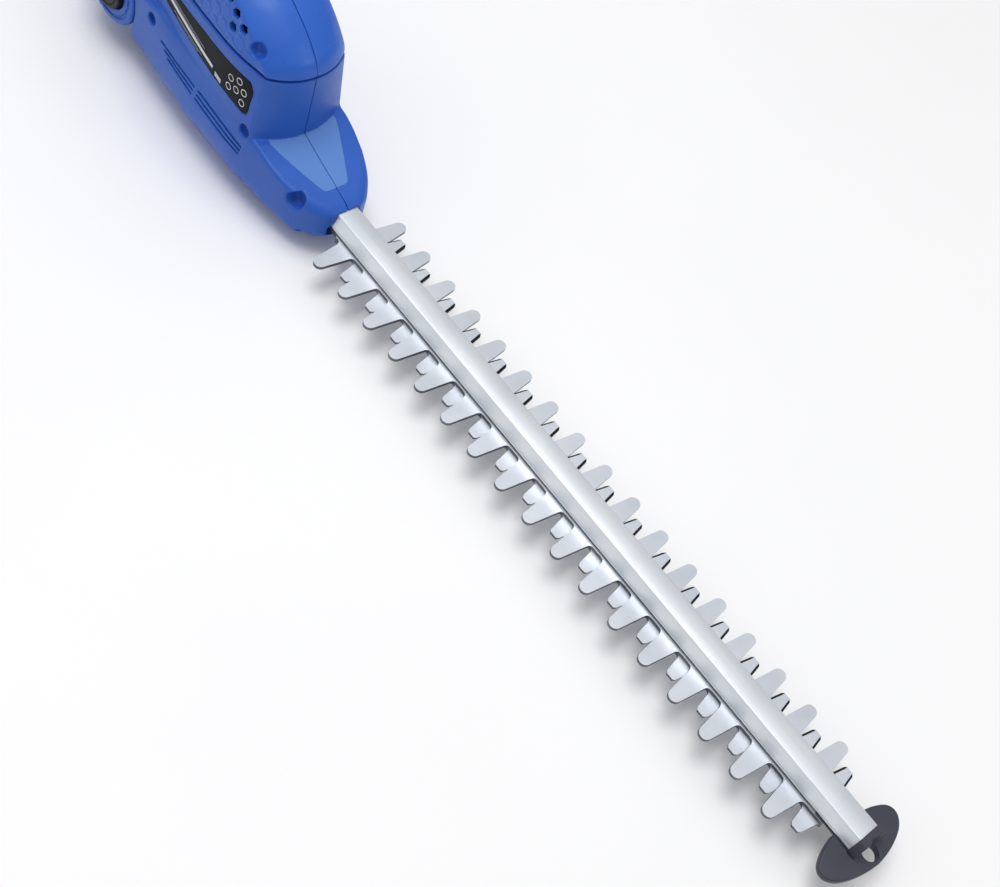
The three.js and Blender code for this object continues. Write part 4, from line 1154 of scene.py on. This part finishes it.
def clamp_band(x, y, z):
    """Band with an eye for the strap."""
    v = z - HINGE_Z
    around = np.hypot(y, v)
    band = common(around - 21.45, np.abs(x - STRAP_X) - 10.95, 1.2)
    ear = box_field(x, y, v, *STRAP_EAR, 1.2)
    ear = common(ear, np.hypot(x - STRAP_X, v - 24.5) - 13.2, 1.5)
    return less(merged(band, ear, 2.5),
                (around - REAR_BORE_R, 0.5),
                (np.hypot(x - STRAP_X, v - STRAP_EYE[0]) - STRAP_EYE[1], 0.9))


tube("front_tube_drawn", FRONT_TUBE_R, -860, -264, POLE_ALUMINIUM, "pole_front",
     "front_tube")
tube("rear_tube_painted", REAR_TUBE_R, -905, -372, BLACK_TUBE, "pole_rear", "rear_tube")
moulded("lock_collar_body", lock_collar, (-394, -25.4, -3.4), (-345, 25.4, 47.4), COARSE * 0.8, BLACK,
        "collar", ["length_lock_collar"], 40000)
foam_sleeve()
moulded("strap_clamp_band", clamp_band, (-456, -21.5, 0), (-434, 21.5, 58.2), 0.9, BLACK, "pole_rear",
        ["strap_clamp"], 24000)


# ---- rear handle
HANDLE_HALF = 17.0
HANDLE_WALL = 3.2
HANDLE_TOP = eased([(-868, 41), (-895, 44.6), (-925, 50), (-962, 55.6), (-1000, 57.4), (-1048, 57.4),
                    (-1095, 57.3), (-1122, 54.8), (-1139, 48.6), (-1150, 37), (-1155.8, 14), (-1153.5, -6),
                    (-1147, -19)], 3)
HANDLE_SIDE = HANDLE_TOP + [(-1138, REST_Z), (-966, REST_Z)] + eased(
    [(-957, -20.5), (-938, -12), (-905, 1), (-886, 2.9), (-868, 3)], 3)
FINGER_GAP = eased([(-1110, -13), (-1050, -13), (-992, -13), (-981, -9.5), (-976, -3), (-975.6, 4),
                    (-978, 12), (-990, 18.3), (-1050, 18.5), (-1104, 18.5), (-1114, 15), (-1119, 9),
                    (-1119.4, 2), (-1118, -7), (-1110, -13)], 2)[:-1]
PANEL = [(-1098, 30), (-1098, 47), (-1022, 47), (-1014, 40), (-1022, 30)]
HANDLE_SCREWS = [(-934, 37), (-962, -17), (-1130, 42), (-1134, -15), (-992, 38)]
TRIGGER_SLOT = ((-1036, -6.4, 12), (-970, 6.4, 24))
LOCK_OFF_SLOT = ((-1005, -5.5, 50), (-981, 5.5, 62))
TUBE_STOP_X = -905.3             # how deep the rear tube goes in
SIDE_RIBS = (-1060, 34, 38.5, 6.2)    # middle and half length along X, middle and half height
GLAND_Z = 16.0
GLAND_FRONT = -1158.5
GLAND_RINGS = 5


def handle(x, y, z):
    """Closed rear handle: rounded grip, finger gap, tube socket, grooved panel and grip ribs."""
    across = np.abs(y)
    side = outline(x, z, HANDLE_SIDE)
    body = common(side, across - HANDLE_HALF + 0.05, 7.0)
    around = np.hypot(y, z - HINGE_Z)
    collar = common(around - 21.95, np.maximum(-918 - x, x + 868.05), 1.8)
    gap = outline(x, z, FINGER_GAP)
    room = np.maximum(np.maximum(side + HANDLE_WALL, across - HANDLE_HALF + HANDLE_WALL), HANDLE_WALL - gap)
    panel = np.abs(outline(x, z, PANEL) - 3) - 0.6
    ribs_x, ribs_run, ribs_z, ribs_rise = SIDE_RIBS
    ribs = np.maximum(np.abs(np.mod(x, 6.0) - 3) - 0.9, np.abs(z - ribs_z) - ribs_rise)
    ribs = np.maximum(ribs, np.abs(x - ribs_x) - ribs_run)
    shape = less(merged(body, collar, 4.0),
                 (gap, 6.0),
                 (room, 1.0),
                 (np.maximum(around - REAR_BORE_R, TUBE_STOP_X - x), 0.5),
                 (box_field(x, y, z, *TRIGGER_SLOT), 0.8),
                 (box_field(x, y, z, *LOCK_OFF_SLOT), 0.8),
                 (np.maximum(np.hypot(y, z - GLAND_Z) - 7.3, x + 1140), 0.6),
                 (np.maximum(panel, HANDLE_HALF - 0.8 - across), 0.3),
                 (np.maximum(ribs, HANDLE_HALF - 0.6 - across), 0.4))
    for at_x, at_z in HANDLE_SCREWS:
        shape = without(shape, np.maximum(np.hypot(x - at_x, z - at_z) - 3.4, y + HANDLE_HALF - 3.2), 0.6)
    return shape


LEVER = eased([(-968, 31), (-980, 33), (-1004, 31.8), (-1024, 30), (-1032, 25), (-1033.6, 16), (-1031, 8.4),
               (-1022, 5.2), (-1012, 5.4), (-1004, 6.2), (-988, 9), (-978, 16.5), (-969, 23)], 2)


def trigger_lever(x, y, z):
    """Finger lever with grip grooves and a pivot hole."""
    grip = np.maximum(np.abs(np.mod(x, 5.0) - 2.5) - 0.6, z - 7.2)
    return less(common(outline(x, z, LEVER), np.abs(y) - 5.75, 2.2),
                (np.maximum(grip, np.abs(x + 1012) - 12), 0.4),
                (np.hypot(x + 974, z - 27) - 2.4, 0.3))


def lock_off(x, y, z):
    """Button with a ribbed top on a foot that holds it in."""
    cap = box_field(x, y, z, (-1003.9, -4.85, 46.1), (-982.1, 4.85, 61.4), 2.0)
    foot = box_field(x, y, z, (-1006.9, -7.9, 46.1), (-979.1, 7.9, 48.9), 0.8)
    ribs = np.maximum(np.abs(np.mod(x + 1, 3.6) - 1.8) - 0.5, np.maximum(60.8 - z, np.abs(x + 993) - 7))
    return without(np.minimum(cap, foot), ribs, 0.3)


def gland():
    """Flexible cable gland: a flange and tapering rings. Its bore is empty."""
    rear = tool_box("cable_gland")[0][0]
    rings = [(3.7, rear), (5.6, rear), (6.0, rear + 0.5)]
    step = (GLAND_FRONT - rear - 1.2) / GLAND_RINGS
    for k in range(GLAND_RINGS):
        x = rear + 0.8 + step * k
        r = 6.2 + (9 - 6.2) * (k + 0.5) / GLAND_RINGS
        rings += [(r, x + 0.2), (r, x + step * 0.6), (r - 1.0, x + step * 0.72), (r - 1.0, x + step * 0.95)]
    rings += [(9, -1158.6), (7, -1158.2), (7, -1148), (9.6, -1147.8), (9.6, -1144.5), (3.7, -1144.5)]
    sleeve("cable_gland_sleeve", rings, RUBBER, "pole_rear", "cable_gland", GLAND_Z, 48)


moulded_halves("handle_shell", handle, (-1157, -22.2, -24.2), (-868, 22.2, 58), COARSE, BLUE, "pole_rear",
               "handle", 90000)
moulded("trigger_lever", trigger_lever, (-1034.5, -6, 3.8), (-967, 6, 33.2), 0.8, BLACK, "trigger",
        ["trigger"], 20000)
moulded("lock_off_cap", lock_off, (-1007, -8, 46), (-979, 8, 61.5), 0.6, BLACK, "lock_off",
        ["lock_off_button"], 14000)
gland()


# ---- inner parts kept as in the CAD
KEPT = [
    (CASTING, ("hinge_tongue", "gearcase_base", "gearcase_cover", "blade_cover_plate")),
    (STEEL, ("bar_screw_1", "bar_screw_2", "guard_screw", "pivot_bolt", "pivot_nut", "button_spring",
             "armature_shaft", "lower_bearing", "upper_bearing", "motor_pinion", "crank_gear", "crank_axle",
             "upper_eccentric", "lower_eccentric")),
    (DARK_STEEL, ("stator_core", "armature_core")),
    (COPPER, ("field_winding_lower", "field_winding_upper", "commutator")),
    (CARBON, ("carbon_brush_left", "carbon_brush_right")),
    (BLACK, ("brush_holder_left", "brush_holder_right", "cooling_fan", "power_switch")),
]
for look, nodes in KEPT:
    for node in nodes:
        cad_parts[node].data.materials.clear()
        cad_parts[node].data.materials.append(look)


# ---- stage, light and camera
CAMERA_PLACE = Vector((0.76083, -0.46623, 0.73574))
CAMERA_RIGHT = Vector((0.6114, 0.7473, 0.2603))
CAMERA_UP = Vector((-0.7392, 0.4219, 0.5250))
LENS = 53.69
FLOOR_HALF = 12.0
FLOOR_Z = -0.0006
ROOM_GREYS = [(0.0, 0.16), (0.35, 0.3), (1.0, 0.8)]    # (height, grey) of the surroundings
LAMPS = [("key", (0.1, -0.1, 2.4), (0.25, 0, 0), 1.5, 26),    # name, place, target, size, watts
         ("fill", (-0.6, -2.0, 1.4), (0.3, 0, 0), 2.0, 3),
         ("front", (2.6, 0.9, 1.4), (0.4, 0, 0), 1.2, 7)]


def floor():
    """Pale sheet that the tool lies on."""
    mesh = bpy.data.meshes.new("floor")
    corners = [(FLOOR_HALF * u, FLOOR_HALF * v, FLOOR_Z) for u, v in ((-1, -1), (1, -1), (1, 1), (-1, 1))]
    mesh.from_pydata(corners, [], [(0, 1, 2, 3)])
    look = Look("pale_floor")
    look.colours(look.noise(3), "fafafa", "fcfcfc")
    filled(look.shader, Roughness=0.5, Specular_IOR_Level=0.25)
    mesh.materials.append(look.material)
    added("floor", mesh)


def lamp(name, place, target, size, power):
    """Round lamp turned to its target."""
    light = bpy.data.lights.new(name, "AREA")
    light.shape = "DISK"
    light.size = size
    light.energy = power
    piece = added(name, light)
    piece.location = place
    piece.rotation_euler = (Vector(target) - Vector(place)).to_track_quat("-Z", "Y").to_euler()


def camera():
    """The photo's view."""
    data = bpy.data.cameras.new("camera")
    data.sensor_width = 36
    data.lens = LENS
    data.clip_start = 0.02
    data.clip_end = 60
    right, up = CAMERA_RIGHT.normalized(), CAMERA_UP.normalized()
    back = right.cross(up).normalized()
    turn = Matrix((right, back.cross(right), back)).transposed().to_4x4()
    piece = added("camera", data)
    piece.matrix_world = Matrix.Translation(CAMERA_PLACE) @ turn
    bpy.context.scene.camera = piece


def studio():
    """Surroundings that grow lighter upwards, and the lamps."""
    world = bpy.data.worlds.new("studio")
    world.use_nodes = True
    tree = world.node_tree
    place = tree.nodes.new("ShaderNodeTexCoord")
    height = tree.nodes.new("ShaderNodeSeparateXYZ")
    shades = [(position, (grey, grey, grey * 1.02, 1)) for position, grey in ROOM_GREYS]
    ramp = with_stops(tree.nodes.new("ShaderNodeValToRGB"), shades)
    tree.links.new(place.outputs["Generated"], height.inputs["Vector"])
    tree.links.new(height.outputs["Z"], ramp.inputs["Fac"])
    tree.links.new(ramp.outputs["Color"], tree.nodes["Background"].inputs["Color"])
    bpy.context.scene.world = world
    for settings in LAMPS:
        lamp(*settings)
    bpy.context.scene.view_settings.view_transform = "Standard"


floor()
studio()
camera()
